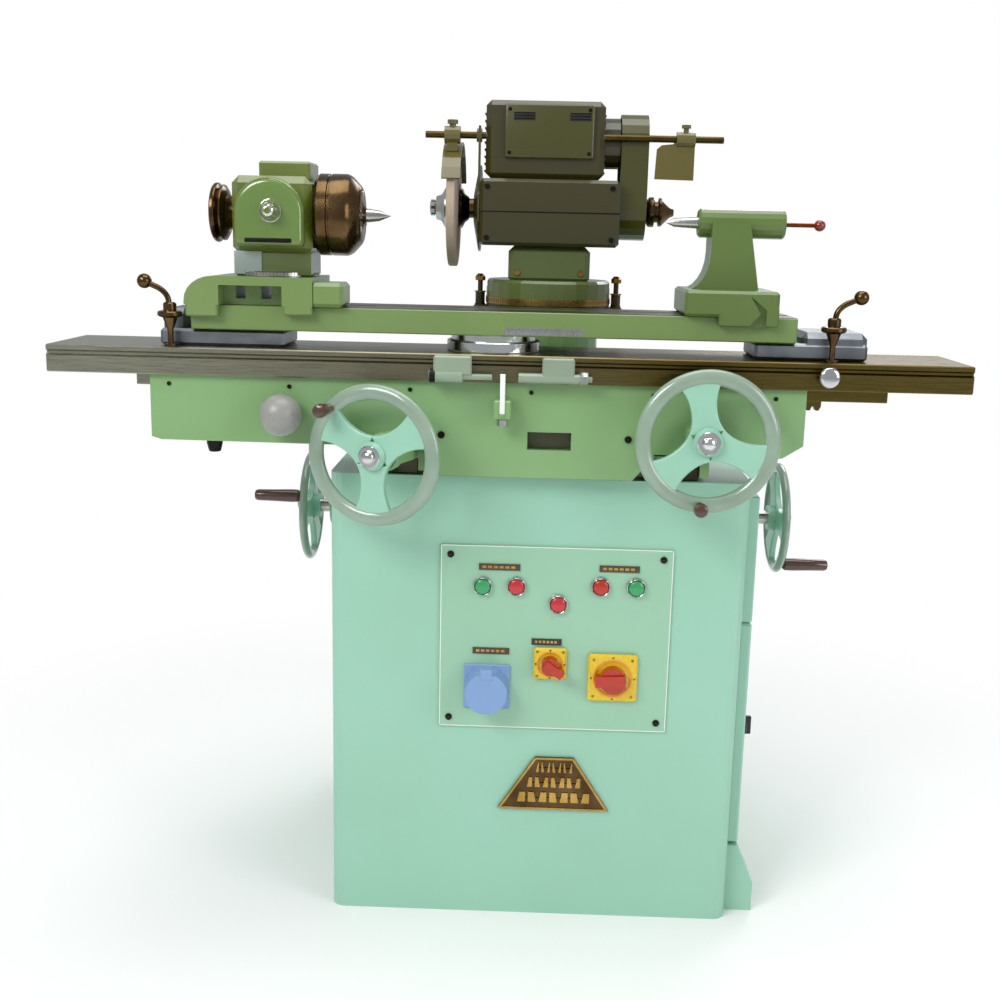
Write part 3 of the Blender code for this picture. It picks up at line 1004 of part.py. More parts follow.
def drive():
    """Motor rotor, belt, spindle, grinding wheel and the cover over both pulleys."""
    motor = pivot("motor_rotor", (0, COLUMN_Y, MOTOR_Z), HEAD)
    rotor = turned("x", (-70 * MM, COLUMN_Y, MOTOR_Z),
                   [(0, 44 * MM), (120 * MM, 44 * MM), (120 * MM, 9 * MM), (194 * MM - BELT_WIDTH / 2 - 2 * MM, 9 * MM),
                    (194 * MM - BELT_WIDTH / 2 - 2 * MM, PULLEY_RADIUS), (194 * MM + BELT_WIDTH / 2 + 2 * MM, PULLEY_RADIUS)],
                   28)
    node("motor_rotor", motor, "steel", rotor)
    axis = pivot("spindle", (0, COLUMN_Y, SPINDLE_Z), HEAD)
    start = -184 * MM
    at = BELT_X - start
    spindle = turned("x", (start, COLUMN_Y, SPINDLE_Z),
                     [(0, 9 * MM), (2 * MM, 11 * MM), (WHEEL_X - start + 9 * MM + GAP, 11 * MM),
                      (WHEEL_X - start + 9 * MM + GAP, 32 * MM), (WHEEL_X - start + 18 * MM, 22 * MM),
                      (WHEEL_X - start + 24 * MM, SPINDLE_RADIUS),
                      (at - BELT_WIDTH / 2 - 2 * MM, SPINDLE_RADIUS), (at - BELT_WIDTH / 2 - 2 * MM, PULLEY_RADIUS),
                      (at + BELT_WIDTH / 2 + 2 * MM, PULLEY_RADIUS), (at + BELT_WIDTH / 2 + 2 * MM, SPINDLE_RADIUS),
                      (COVER_RIGHT - start + 3 * MM, SPINDLE_RADIUS)] +
                     [(COVER_RIGHT - start + along, radius) for along, radius in
                      ((4 * MM, 19 * MM), (8 * MM, 23 * MM), (15 * MM, 23 * MM), (16 * MM, 16 * MM), (21 * MM, 16 * MM),
                       (22 * MM, 22 * MM), (27 * MM, 22 * MM), (34 * MM, 14 * MM), (40 * MM, 8 * MM), (46 * MM, 6 * MM))],
                     18)
    node("wheel_spindle", axis, "steel", spindle)
    wheel = ring("x", (WHEEL_X, COLUMN_Y, SPINDLE_Z),
                 [(9 * MM, clear(11 * MM)), (9 * MM, 34 * MM), (6 * MM, WHEEL_RADIUS), (-6 * MM, WHEEL_RADIUS),
                  (-9 * MM, 34 * MM), (-9 * MM, clear(11 * MM))], 28)
    node("grinding_wheel", axis, "grit", wheel)
    outer = ring("x", (WHEEL_X - 9 * MM - GAP, COLUMN_Y, SPINDLE_Z),
                 [(0, clear(11 * MM)), (0, 32 * MM), (-10 * MM, 20 * MM), (-18 * MM, 18 * MM), (-18 * MM, clear(11 * MM))],
                 28)
    node("wheel_flange", axis, "steel", outer)
    belt_out = plate("yz", oblong(SPINDLE_Z, MOTOR_Z, PULLEY_RADIUS + GAP + 4 * MM), BELT_X - BELT_WIDTH / 2, BELT_WIDTH)
    belt_in = plate("yz", oblong(SPINDLE_Z, MOTOR_Z, (PULLEY_RADIUS + GAP) / cos(pi / 20)), BELT_X - BELT_WIDTH,
                    2 * BELT_WIDTH)
    node("drive_belt", HEAD, "black", belt_out, cut=[belt_in])
    left = BODY_RIGHT + GAP
    shell = plate("yz", oblong(SPINDLE_Z, MOTOR_Z, 44 * MM), left, COVER_RIGHT - left)
    inside = plate("yz", oblong(SPINDLE_Z, MOTOR_Z, 40 * MM), left - 5 * MM, COVER_RIGHT - left)
    hole = rod("x", (COVER_RIGHT - 10 * MM, COLUMN_Y, SPINDLE_Z), 20 * MM, clear(SPINDLE_RADIUS), 14)
    node("belt_cover", HEAD, "olive", shell, cut=[inside, hole])


def guards():
    """The three guards that clamp on the guard rods."""
    arc = [radians(25 + 130 * i / 12) for i in range(13)]
    outer = [(COLUMN_Y - (WHEEL_RADIUS + 10 * MM) * cos(a), SPINDLE_Z + (WHEEL_RADIUS + 10 * MM) * sin(a)) for a in arc]
    inner = [(COLUMN_Y - (WHEEL_RADIUS + 6 * MM) * cos(a), SPINDLE_Z + (WHEEL_RADIUS + 6 * MM) * sin(a))
             for a in reversed(arc)]
    hood = plate("yz", outer + inner, WHEEL_X - 14 * MM, 28 * MM)
    clamp = rod("x", (WHEEL_X - 12 * MM, ROD_Y, ROD_Z), 24 * MM, 13 * MM, 12)
    web = block((WHEEL_X - 8 * MM, ROD_Y - 6 * MM, ROD_Z - 24 * MM), (WHEEL_X + 8 * MM, ROD_Y + 10 * MM, ROD_Z - 4 * MM))
    screw = turned("z", (WHEEL_X, ROD_Y, ROD_Z + 8 * MM), [(0, 5 * MM), (8 * MM, 5 * MM), (8 * MM, 8 * MM), (14 * MM, 8 * MM)], 10)
    bore = rod("x", (WHEEL_X - 20 * MM, ROD_Y, ROD_Z), 40 * MM, ROD_RADIUS + GAP, 10)
    node("wheel_guard", HEAD, "green", hood, [clamp, web, screw], [bore])
    x = -112 * MM
    dish = ring("x", (x, COLUMN_Y, SPINDLE_Z),
                [(8 * MM, 20 * MM), (8 * MM, 66 * MM), (5 * MM, 66 * MM), (-3 * MM, 24 * MM), (-3 * MM, 20 * MM)], 20)
    strip = block((x + 5 * MM, ROD_Y - 9 * MM, SPINDLE_Z + 20 * MM), (x + 8 * MM, ROD_Y + 9 * MM, ROD_Z + 14 * MM))
    eye = rod("x", (x + 2 * MM, ROD_Y, ROD_Z), 8 * MM, 10 * MM, 12)
    eye_bore = rod("x", (x - 10 * MM, ROD_Y, ROD_Z), 24 * MM, ROD_RADIUS + GAP, 10)
    node("dish_guard", HEAD, "green", dish, [strip, eye], [eye_bore])
    flag = plate("xz", [(161 * MM, 1106 * MM), (220 * MM, 1105 * MM), (220 * MM, ROD_Z), (190 * MM, ROD_Z),
                        (188 * MM, 1158 * MM), (170 * MM, 1156 * MM), (163 * MM, 1150 * MM)], ROD_Y - 2 * MM, 4 * MM)
    collar = rod("x", (192 * MM, ROD_Y, ROD_Z), 28 * MM, 11 * MM, 12)
    flag_screw = turned("z", (206 * MM, ROD_Y, ROD_Z + 8 * MM), [(0, 4 * MM), (8 * MM, 4 * MM), (8 * MM, 7 * MM), (13 * MM, 7 * MM)], 10)
    flag_bore = rod("x", (150 * MM, ROD_Y, ROD_Z), 90 * MM, ROD_RADIUS + GAP, 10)
    node("flag_guard", HEAD, "green", flag, [collar, flag_screw], [flag_bore])


wheelhead()
drive()
guards()
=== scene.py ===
"""Looks of the tool and cutter grinder: finishes, fine shapes, light and camera."""
from math import cos, pi, radians, sin

import bmesh
import bpy
from mathutils import Matrix, Vector


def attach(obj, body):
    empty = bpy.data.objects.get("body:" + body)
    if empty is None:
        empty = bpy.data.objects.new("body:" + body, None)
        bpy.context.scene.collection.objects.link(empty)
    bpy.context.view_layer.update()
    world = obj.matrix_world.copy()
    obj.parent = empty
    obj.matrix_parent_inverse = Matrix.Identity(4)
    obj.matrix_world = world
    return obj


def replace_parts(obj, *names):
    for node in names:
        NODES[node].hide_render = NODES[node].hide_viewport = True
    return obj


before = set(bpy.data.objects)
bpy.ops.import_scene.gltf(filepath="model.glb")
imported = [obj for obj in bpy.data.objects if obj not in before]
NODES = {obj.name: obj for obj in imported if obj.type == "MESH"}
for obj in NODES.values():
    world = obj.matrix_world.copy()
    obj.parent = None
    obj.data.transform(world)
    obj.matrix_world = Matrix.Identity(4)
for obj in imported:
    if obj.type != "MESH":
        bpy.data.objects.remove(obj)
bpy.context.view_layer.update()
MM = 0.001


def mm(values):
    """Millimetres to metres, for a point or a list of points."""
    return [mm(value) if isinstance(value, tuple) else value * MM for value in values]


# ---------------------------------------------------------------- camera and light
CAMERA_AT = (-0.011, -2.02, 1.019)
PITCH, TURN, ROLL = radians(-12), radians(1.5), radians(1.3)
lens = bpy.data.cameras.new("camera")
lens.lens = 45
lens.sensor_width = 36
camera = bpy.data.objects.new("camera", lens)
bpy.context.scene.collection.objects.link(camera)
camera.matrix_world = (Matrix.Translation(CAMERA_AT) @ Matrix.Rotation(TURN, 4,
    "Z") @ Matrix.Rotation(pi / 2 + PITCH, 4, "X") @ Matrix.Rotation(ROLL, 4, "Z"))
bpy.context.scene.camera = camera
bpy.context.scene.view_settings.view_transform = "Standard"


def softbox(name, at, aim, width, height, power):
    """A rectangular studio light that faces a point."""
    data = bpy.data.lights.new(name, "AREA")
    data.shape = "RECTANGLE"
    data.size, data.size_y, data.energy = width, height, power
    lamp = bpy.data.objects.new(name, data)
    bpy.context.scene.collection.objects.link(lamp)
    lamp.location = at
    lamp.rotation_euler = (Vector(aim) - Vector(at)).to_track_quat("-Z", "Y").to_euler()


softbox("key", (-1.8, -2.4, 2.6), (0, 0, 0.8), 1.6, 1.2, 62)
softbox("fill", (2.3, -1.9, 1.5), (0, 0, 0.7), 1.4, 1.6, 26)
softbox("top", (0.1, -0.2, 3.0), (0, 0, 0.9), 2.2, 1.6, 34)
softbox("rim", (1.2, 2.3, 2.3), (0, 0, 0.9), 1.4, 1.0, 22)


def linear(code):
    """An sRGB hex code as linear RGBA."""
    channels = [int(code[i:i + 2], 16) / 255 for i in (1, 3, 5)]
    return [c / 12.92 if c <= 0.04045 else ((c + 0.055) / 1.055) ** 2.4 for c in channels] + [1]


def step(tree, kind, sockets=None, **settings):
    """Adds a shader node; sockets maps an input to a value or to another node's output."""
    made = tree.nodes.new("ShaderNode" + kind)
    for key, value in settings.items():
        setattr(made, key, value)
    for key, value in (sockets or {}).items():
        if isinstance(value, bpy.types.NodeSocket):
            tree.links.new(value, made.inputs[key])
        else:
            made.inputs[key].default_value = value
    return made


world = bpy.data.worlds.new("studio")
bpy.context.scene.world = world
world.use_nodes = True
world.node_tree.nodes.clear()
ray = step(world.node_tree, "LightPath")
room = step(world.node_tree, "Background", {"Color": linear("#DDE2E6"), "Strength": 0.62})
sky = step(world.node_tree, "Background", {"Color": linear("#FFFFFF"), "Strength": 1.0})
shown = step(world.node_tree, "Math", {0: ray.outputs["Is Camera Ray"],
                                       1: ray.outputs["Is Transmission Ray"]}, operation="MAXIMUM")
seen = step(world.node_tree, "MixShader", {0: shown.outputs[0], 1: room.outputs[0], 2: sky.outputs[0]})
step(world.node_tree, "OutputWorld", {"Surface": seen.outputs[0]})

FLOOR_SIZE = 16
bpy.ops.mesh.primitive_plane_add(size=FLOOR_SIZE, location=(0, 0, 0))
floor = bpy.context.object
floor.name = "floor"


# ---------------------------------------------------------------- finishes
def blank(name):
    """A material with only an output and a principled shader."""
    made = bpy.data.materials.new(name)
    made.use_nodes = True
    tree = made.node_tree
    tree.nodes.clear()
    shader = step(tree, "BsdfPrincipled")
    step(tree, "OutputMaterial", {"Surface": shader.outputs[0]})
    return made, tree, shader


def noise(tree, size_mm, detail=2.0, stretch=(1, 1, 1)):
    """A noise pattern whose lumps are about size_mm across in the part's own frame."""
    place = step(tree, "TexCoord")
    scaled = step(tree, "Mapping", {"Vector": place.outputs["Object"],
                                    "Scale": [1000 / size_mm * s for s in stretch]})
    return step(tree, "TexNoise", {"Vector": scaled.outputs[0], "Scale": 1.0,
                                   "Detail": detail}).outputs["Fac"]


def spread(tree, value, low, high, at=(0.35, 0.65)):
    """Maps a pattern onto the range low to high."""
    return step(tree, "MapRange", {"Value": value, "From Min": at[0], "From Max": at[1], "To Min": low,
                                   "To Max": high}).outputs[0]


def enamel(name, code, shade, rough=0.32, coat=0.35, patch_mm=260):
    """Sprayed machine enamel: slow tone drift, dusty roughness and fine orange peel."""
    made, tree, shader = blank(name)
    drift = spread(tree, noise(tree, patch_mm, 2.0), 0.0, 1.0, (0.25, 0.75))
    tone = step(tree, "Mix", {"Factor": drift, "A": linear(code), "B": linear(shade)}, data_type="RGBA")
    tree.links.new(tone.outputs["Result"], shader.inputs["Base Color"])
    smear = spread(tree, noise(tree, 90, 1.0), rough - 0.02, rough + 0.03, (0.1, 0.9))
    tree.links.new(smear, shader.inputs["Roughness"])
    peel = step(tree, "Bump", {"Height": noise(tree, 2.2, 0.0), "Strength": 0.04, "Distance": 0.0003})
    tree.links.new(peel.outputs[0], shader.inputs["Normal"])
    shader.inputs["Coat Weight"].default_value = coat
    shader.inputs["Coat Roughness"].default_value = 0.12
    return made


def metal(name, code, shade, rough=0.28, grain=(1, 1, 1), grain_mm=1.2, depth=0.03, along=None):
    """Worked metal: grain drawn out along the tool's way; oil stains lie at random, or, with along, a
    painted shade darkens the colour along X.
    """
    made, tree, shader = blank(name)
    stain_and_painted_shade = spread(tree, noise(tree, 45, 2.0), 0.0, 1.0)
    # painted shade: with along, the tone goes from code to shade along X instead of at random
    if along:
        place = step(tree, "TexCoord")
        parts = step(tree, "SeparateXYZ", {0: place.outputs["Object"]})
        stain_and_painted_shade = spread(tree, parts.outputs["X"], 0.0, 1.0, along)
    tone = step(tree, "Mix", {"Factor": stain_and_painted_shade, "A": linear(code), "B": linear(shade)}, data_type="RGBA")
    tree.links.new(tone.outputs["Result"], shader.inputs["Base Color"])
    shader.inputs["Metallic"].default_value = 1.0
    lines = noise(tree, grain_mm, 2.0, grain)
    tree.links.new(spread(tree, lines, rough - 0.06, rough + 0.08), shader.inputs["Roughness"])
    cut = step(tree, "Bump", {"Height": lines, "Strength": depth, "Distance": 0.0002})
    tree.links.new(cut.outputs[0], shader.inputs["Normal"])
    return made


def moulded(name, code, rough=0.2, coat=0.0):
    """Moulded plastic with a faint sheen and fine scuffs."""
    made, tree, shader = blank(name)
    shader.inputs["Base Color"].default_value = linear(code)
    tree.links.new(spread(tree, noise(tree, 6, 4.0), rough - 0.04, rough + 0.08),
                   shader.inputs["Roughness"])
    scuff = step(tree, "Bump", {"Height": noise(tree, 0.8, 2.0), "Strength": 0.03, "Distance": 0.0002})
    tree.links.new(scuff.outputs[0], shader.inputs["Normal"])
    shader.inputs["Coat Weight"].default_value = coat
    return made


def grit(name, code, dark):
    """Bonded abrasive grain: speckled tone and a rough, pitted face."""
    made, tree, shader = blank(name)
    speck = spread(tree, noise(tree, 1.1, 3.0), 0.0, 1.0)
    tone = step(tree, "Mix", {"Factor": speck, "A": linear(code), "B": linear(dark)}, data_type="RGBA")
    tree.links.new(tone.outputs["Result"], shader.inputs["Base Color"])
    shader.inputs["Roughness"].default_value = 0.85
    pits = step(tree, "Bump", {"Height": noise(tree, 0.9, 3.0), "Strength": 0.5, "Distance": 0.0006})
    tree.links.new(pits.outputs[0], shader.inputs["Normal"])
    return made


# Sprayed enamel on filled castings and sheet: one even light green paint, a soft sheen and a thin clear
# skin of gloss. The greens below differ part by part as painted light and shade: lit mint on the cabinet,
# and darker leaf, moss, dim and head greens where less light falls.
MINT = enamel("enamel_mint_sprayed", "#95C5AE", "#8FBFA6")
PANEL = enamel("enamel_mint_pale_sprayed", "#94C0A4", "#8FBB9D", 0.28)
GREEN = enamel("enamel_light_green_sprayed", "#82A874", "#75995F")
LEAF = enamel("enamel_leaf_green_sprayed", "#748C54", "#678043")
MOSS = enamel("enamel_moss_green_sprayed", "#5C7236", "#51662D")
DIM = enamel("enamel_dim_green_sprayed", "#5C6A36", "#505C2C")
PALE = enamel("enamel_grey_green_worn", "#8FA28B", "#7F8C78", 0.26)
# The heads' enamel is painted darker, as painted shade, and has a glossier coat.
HEAD_GREEN = enamel("enamel_mid_green_sprayed", "#65722B", "#5A6625", 0.24, 0.6)
OLIVE = enamel("enamel_dark_olive_sprayed", "#3A350C", "#322D08", 0.32, 0.3)
COVER = enamel("enamel_olive_sprayed", "#43420D", "#3B390A", 0.32, 0.3)
GUARD = enamel("enamel_olive_yellow_sprayed", "#5F5620", "#544C1B", 0.3, 0.5)
# Ground and scraped cast iron: dull grey to oily brown, with fine lines along the way of the tool. On the
# lower table the grey-to-brown change along X is painted shade, darker to the right.
IRON = metal("cast_iron_scraped_ways", "#5A5646", "#46422F", 0.34, (0.06, 1, 1))
TABLE = metal("cast_iron_ground_lengthwise", "#9A9988", "#66582E", 0.3, (0.03, 1, 1), along=(-0.6, 0.15))
PLATE = metal("cast_iron_ground_pad", "#8A8E93", "#74787C", 0.34, (0.05, 1, 1))
# Turned, plated and lacquered metal: bright, with tight reflections that smear a little round the axis.
STEEL = metal("steel_turned_bright", "#C2C2BE", "#A9A9A4", 0.2, (1, 1, 1), 1.5, 0.02)
CHROME = metal("steel_chrome_plated", "#D8D8D8", "#C8C8C8", 0.08, (1, 1, 1), 8, 0.0)
BRONZE = metal("steel_bronze_lacquered", "#6A5438", "#4E3A26", 0.2, (1, 1, 1), 2.5, 0.02)
BRASS = metal("brass_turned", "#B08A4A", "#94703A", 0.25, (1, 1, 1), 1.5, 0.02)
GOLD = metal("brass_relief_polished", "#C8A256", "#A98340", 0.25, (1, 1, 1), 3, 0.02)
BLACKENED = metal("steel_blackened_oil", "#2E2C28", "#24221F", 0.36, (1, 1, 1), 2, 0.03)
# Moulded plastics: one flat colour, smooth, with a faint sheen.
GRIP = moulded("phenolic_brown_moulded", "#4E3328", 0.16, 0.4)
BALL = moulded("nylon_grey_moulded", "#8D8D88", 0.3)
# Black nylon for the door latch; the same black is painted shade in the vent openings and the screw slots.
BLACK_AND_SHADE = moulded("nylon_black_moulded_and_painted_shade", "#1B1B1B", 0.4)
RUBBER = moulded("rubber_black_belt", "#1A1A18", 0.6)
YELLOW = moulded("polyester_yellow_moulded", "#DDBB12", 0.25, 0.3)
RED = moulded("polyester_red_moulded", "#AE2406", 0.2, 0.4)
CRIMSON = moulded("polyester_crimson_moulded", "#B8242A", 0.16, 0.5)
LAMP_GREEN = moulded("polyester_green_moulded", "#2C9657", 0.16, 0.5)
BLUE = moulded("nylon_pale_blue_moulded", "#7C9AC6", 0.36)
WHITE = moulded("laminate_white_printed", "#E6E8E2", 0.36)
INK = moulded("ink_dark_printed", "#2A2E2C", 0.5)
# Bonded aluminium oxide: pinkish, dry and rough; its grain is drawn coarser than life so that it shows.
STONE = grit("abrasive_pinkish_grain", "#C0AE9C", "#A08E7C")
LABEL = moulded("laminate_brown_engraved", "#4A3A2E", 0.35)
ORANGE = moulded("polyester_orange_moulded", "#E8872A", 0.22, 0.3)
BLOTTER = moulded("card_grey_printed", "#C9C4BC", 0.7)
CRIMSON_DARK = moulded("phenolic_dark_red_ball", "#7A2018", 0.18, 0.4)
RODS = metal("steel_brown_oiled", "#5A4A28", "#4A3C20", 0.3, (0.1, 1, 1))
RUST = metal("steel_red_brown_oiled", "#7A3A1C", "#64301A", 0.3, (0.1, 1, 1))
# The workhead's front arch: the heads' paint, its tone set as painted light and shade, with a glossy coat.
HEAD_GLOSS = enamel("enamel_mid_green_glossy", "#66823B", "#5C7634", 0.14, 0.9)
PALE_GREY = enamel("enamel_pale_grey_worn", "#9BA6A2", "#8A958F", 0.24)
# Painted shade: a flat dark brown-green standing in for the shadowed inside of the saddle apron's slot.
WINDOW = enamel("enamel_shadowed_brown_green", "#4A4A26", "#33351C", 0.4, 0.2)
# Pale matte floor: keeps the shadow near the machine and goes white for the camera further out.
ground, ground_tree, ground_shader = blank("floor_pale_matte")
ground_shader.inputs["Base Color"].default_value = linear("#F4F4F2")
ground_shader.inputs["Roughness"].default_value = 0.8
spot = step(ground_tree, "TexCoord")
reach = step(ground_tree, "VectorMath", {0: spot.outputs["Object"]}, operation="LENGTH")
FADE_FROM, FADE_TO = 0.55, 1.5   # the floor turns plain white between these distances
fade = step(ground_tree, "MapRange", {"Value": reach.outputs["Value"], "From Min": FADE_FROM,
                                      "From Max": FADE_TO}, interpolation_type="SMOOTHSTEP")
glow = step(ground_tree, "Emission", {"Color": linear("#FFFFFF"), "Strength": 1.0})
lit = step(ground_tree, "LightPath")
away = step(ground_tree, "Math", {0: fade.outputs[0], 1: lit.outputs["Is Camera Ray"]},
            operation="MULTIPLY")
mixed = step(ground_tree, "MixShader", {0: away.outputs[0], 1: ground_shader.outputs[0],
                                        2: glow.outputs[0]})
ground_tree.links.new(mixed.outputs[0], ground_tree.nodes["Material Output"].inputs["Surface"])
floor.data.materials.append(ground)

# Each part gets its green by where it sits: the differences between these greens are painted light and
# shade over one paint.
FINISHES = {MINT: ("base_cabinet", "side_door", "side_handwheel_left", "side_handwheel_right",
                   "cross_handwheel", "traverse_handwheel"), PANEL: ("switch_panel",),
            GREEN: ("saddle", "column_housing", "screw_bracket"), LEAF: ("swivel_table", "workhead_base"),
            MOSS: ("tailstock_body",), DIM: ("swivel_base",), PALE: ("trip_dog_left", "trip_dog_right"),
            HEAD_GREEN: ("workhead_body",), OLIVE: ("wheelhead_body", "motor_case"),
            COVER: ("belt_cover", "dish_guard"), GUARD: ("wheel_guard", "flag_guard"),
            IRON: ("base_ways", "column_ram", "elevating_screw"), TABLE: ("lower_table",),
            PLATE: ("end_pad_left", "end_pad_right"), STEEL: ("cross_shaft", "wheel_spindle",
                                                              "wheel_flange", "tailstock_quill",
                                                              "motor_rotor", "stop_plunger"),
            CHROME: ("index_plunger",), BRONZE: ("work_spindle", "clamp_lever_left", "clamp_lever_right",
                                                 "name_plate"), GRIP: ("cross_grip", "traverse_grip",
                                                     "side_grip_left", "side_grip_right"),
            BALL: ("table_lock_knob", "contactor_board"), BLACK_AND_SHADE: ("door_latch",), RUBBER: ("drive_belt",),
            YELLOW: ("small_switch_plate", "main_switch_plate"), RED: ("small_switch_knob",
                "main_switch_knob"), CRIMSON: ("button_stop_red_left", "button_stop_red_centre",
                                               "button_stop_red_right"),
            LAMP_GREEN: ("button_start_green_left", "button_start_green_right"),
            BLUE: ("socket_body", "socket_lid"), STONE: ("grinding_wheel",),}
for finish, names in FINISHES.items():
    for name in names:
        mesh = NODES[name].data
        mesh.materials.clear()
        mesh.materials.append(finish)


# ---------------------------------------------------------------- shapes
PIECE_CREASE = radians(32)
CAD_CREASE = radians(35)
TUBE_ROUNDNESS = 4
AXES = {"x": Matrix.Rotation(pi / 2, 4, "Y"), "y": Matrix.Rotation(-pi / 2, 4, "X"),
        "z": Matrix.Identity(4)}


def piece(name, bm, finish, body):
    """Makes an object of a mesh already in place in the row frame, and lets it ride on a body."""
    mesh = bpy.data.meshes.new(name)
    bmesh.ops.recalc_face_normals(bm, faces=bm.faces)
    bm.to_mesh(mesh)
    bm.free()
    made = bpy.data.objects.new(name, mesh)
    bpy.context.scene.collection.objects.link(made)
    mesh.materials.append(finish)
    mesh.shade_smooth()
    mesh.set_sharp_from_angle(angle=PIECE_CREASE)
    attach(made, body)
    return made


def rounded(made, width, segments=3):
    """Softens an object's edges."""
    soft = made.modifiers.new("soften", "BEVEL")
    soft.width = width
    soft.segments = segments
    soft.limit_method = "ANGLE"
    soft.angle_limit = CAD_CREASE
    soft.harden_normals = True
    return made


def corners(region):
    """The vertices that an extrusion made."""
    return [v for v in region["geom"] if isinstance(v, bmesh.types.BMVert)]


def box(name, low, high, finish, body, soft=0.0, segments=3):
    """A box between two corners with softened edges."""
    low, high = Vector(low), Vector(high)
    bm = bmesh.new()
    bmesh.ops.create_cube(bm, size=1)
    bmesh.ops.scale(bm, vec=high - low, verts=bm.verts)
    bmesh.ops.translate(bm, vec=(low + high) / 2, verts=bm.verts)
    if soft:
        bmesh.ops.bevel(bm, geom=bm.edges[:], offset=soft, segments=segments, affect="EDGES", profile=0.5)
    return piece(name, bm, finish, body)


def lathed(profile, axis, at, sides=96, closed=False, turn=None):
    """Mesh of a profile of (along, radius) pairs turned about an axis; turn places it afterwards."""
    bm = bmesh.new()
    verts = [bm.verts.new((radius, 0, along)) for along, radius in profile]
    edges = [bm.edges.new((a, b)) for a, b in zip(verts, verts[1:])]
    if closed:
        edges.append(bm.edges.new((verts[-1], verts[0])))
    bmesh.ops.spin(bm, geom=verts + edges, cent=(0, 0, 0), axis=(0, 0, 1), angle=2 * pi, steps=sides,
                   use_duplicate=False)
    bmesh.ops.remove_doubles(bm, verts=bm.verts, dist=1e-6)
    bmesh.ops.transform(bm, matrix=(turn or Matrix.Identity(4)) @ Matrix.Translation(at) @ AXES[axis],
                        verts=bm.verts)
    return bm


def turned(name, axis, at, profile, finish, body, sides=96, closed=False, turn=None):
    """A turned piece."""
    return piece(name, lathed(profile, axis, at, sides, closed, turn), finish, body)


def ball(name, at, radius, finish, body):
    """A smooth ball."""
    bm = bmesh.new()
    bmesh.ops.create_uvsphere(bm, u_segments=48, v_segments=24, radius=radius)
    bmesh.ops.translate(bm, vec=at, verts=bm.verts)
    return piece(name, bm, finish, body)


def tube(name, points, radius, finish, body):
    """A round bar swept along points."""
    curve = bpy.data.curves.new(name, "CURVE")
    curve.dimensions = "3D"
    curve.bevel_depth = radius
    curve.bevel_resolution = TUBE_ROUNDNESS
    curve.use_fill_caps = True
    line = curve.splines.new("BEZIER")
    line.bezier_points.add(len(points) - 1)
    for point, co in zip(line.bezier_points, points):
        point.co = co
        point.handle_left_type = point.handle_right_type = "AUTO"
    curve.materials.append(finish)
    made = bpy.data.objects.new(name, curve)
    bpy.context.scene.collection.objects.link(made)
    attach(made, body)
    return made


def sheet(name, outline, start, thick, finish, body, soft):
    """A flat outline of (x, z) pairs at depth start, pushed back by thick and softened."""
    bm = bmesh.new()
    face = bm.faces.new([bm.verts.new((x, start, z)) for x, z in outline])
    side = bmesh.ops.extrude_face_region(bm, geom=[face])
    bmesh.ops.translate(bm, vec=(0, thick, 0), verts=corners(side))
    return rounded(piece(name, bm, finish, body), soft)


EDGE, SHEET_EDGE = 0.8 * MM, 1.5 * MM   # machined and cast edges; folded sheet edges
for name, node in NODES.items():
    rounded(node, SHEET_EDGE if name in ("base_cabinet", "side_door") else EDGE, 2)
    node.data.shade_smooth()
    node.data.set_sharp_from_angle(angle=CAD_CREASE)

# ---------------------------------------------------------------- handwheels
LAY = {"x": Matrix.Rotation(pi / 2, 4, "Y"), "y": Matrix.Rotation(pi / 2, 4, "X")}
SWING = Matrix.Rotation(-radians(18), 4, "Z")


def spoke(radius, rim, angle, half=5 * MM):
    """One flat arm that flares into the hub and the rim."""
    low, high = 12 * MM, radius - 1.2 * rim
    waist, hub_flare, rim_flare, slope, steps = 15 * MM, 10 * MM, 16 * MM, 3 * MM, 16
    sides = []
    for i in range(steps + 1):
        t = i / steps
        wide = waist + hub_flare * (1 - t) ** 5 + rim_flare * t ** 4 + slope * t
        sides.append((low + (high - low) * t, wide))
    outline = [(r, w) for r, w in sides] + [(r, -w) for r, w in reversed(sides)]
    bm = bmesh.new()
    face = bm.faces.new([bm.verts.new((r * cos(angle) - w * sin(angle), r * sin(angle) + w * cos(angle),
                                       -half)) for r, w in outline])
    side = bmesh.ops.extrude_face_region(bm, geom=[face])
    bmesh.ops.translate(bm, vec=(0, 0, 2 * half), verts=corners(side))
    return bm


def wheel(name, body, at, axis, outward, radius, turn, rim, turned_by=None):
    """Cast handwheel with a polished rim, three flared arms, a stepped hub and an acorn nut."""
    place = (turned_by or Matrix.Identity(4)) @ Matrix.Translation(at) @ LAY[axis]
    if outward < 0:
        place = place @ Matrix.Rotation(pi, 4, "X")
    flat, sides = 0.72, 24   # the rim's section is a little narrower than it is deep
    loop = [(flat * rim * sin(a), radius - rim + rim * cos(a))
            for a in (2 * pi * i / sides for i in range(sides))]
    hoop = piece(name + "_rim", lathed(loop, "z", (0, 0, 0), 128, True, place), RIM, body)
    for i in range(3):
        angle = (turn if outward > 0 else -turn) + 2 * pi * i / 3
        bm = spoke(radius, rim, angle)
        bmesh.ops.transform(bm, matrix=place, verts=bm.verts)
        rounded(piece("%s_arm_%d" % (name, i), bm, MINT, body), 2.4 * MM, 4)
    hub = mm([(-16, 0), (-16, 20), (8, 20), (11, 18), (14, 17), (14, 0)])
    piece(name + "_hub", lathed(hub, "z", (0, 0, 0), 64, False, place), MINT, body)
    collar = mm([(13.5, 0), (13.5, 15), (15, 15.6), (16, 14.5), (16, 0)])
    piece(name + "_washer", lathed(collar, "z", (0, 0, 0), 64, False, place), CHROME, body)
    nut = mm([(15.5, 0), (15.5, 9.5), (18, 9.5)])
    nut += [(18 * MM + 6 * MM * sin(a), 9.5 * MM * cos(a)) for a in (pi / 2 * i / 8 for i in range(1, 9))]
    piece(name + "_nut", lathed(nut, "z", (0, 0, 0), 48, False, place), CHROME, body)
    return hoop


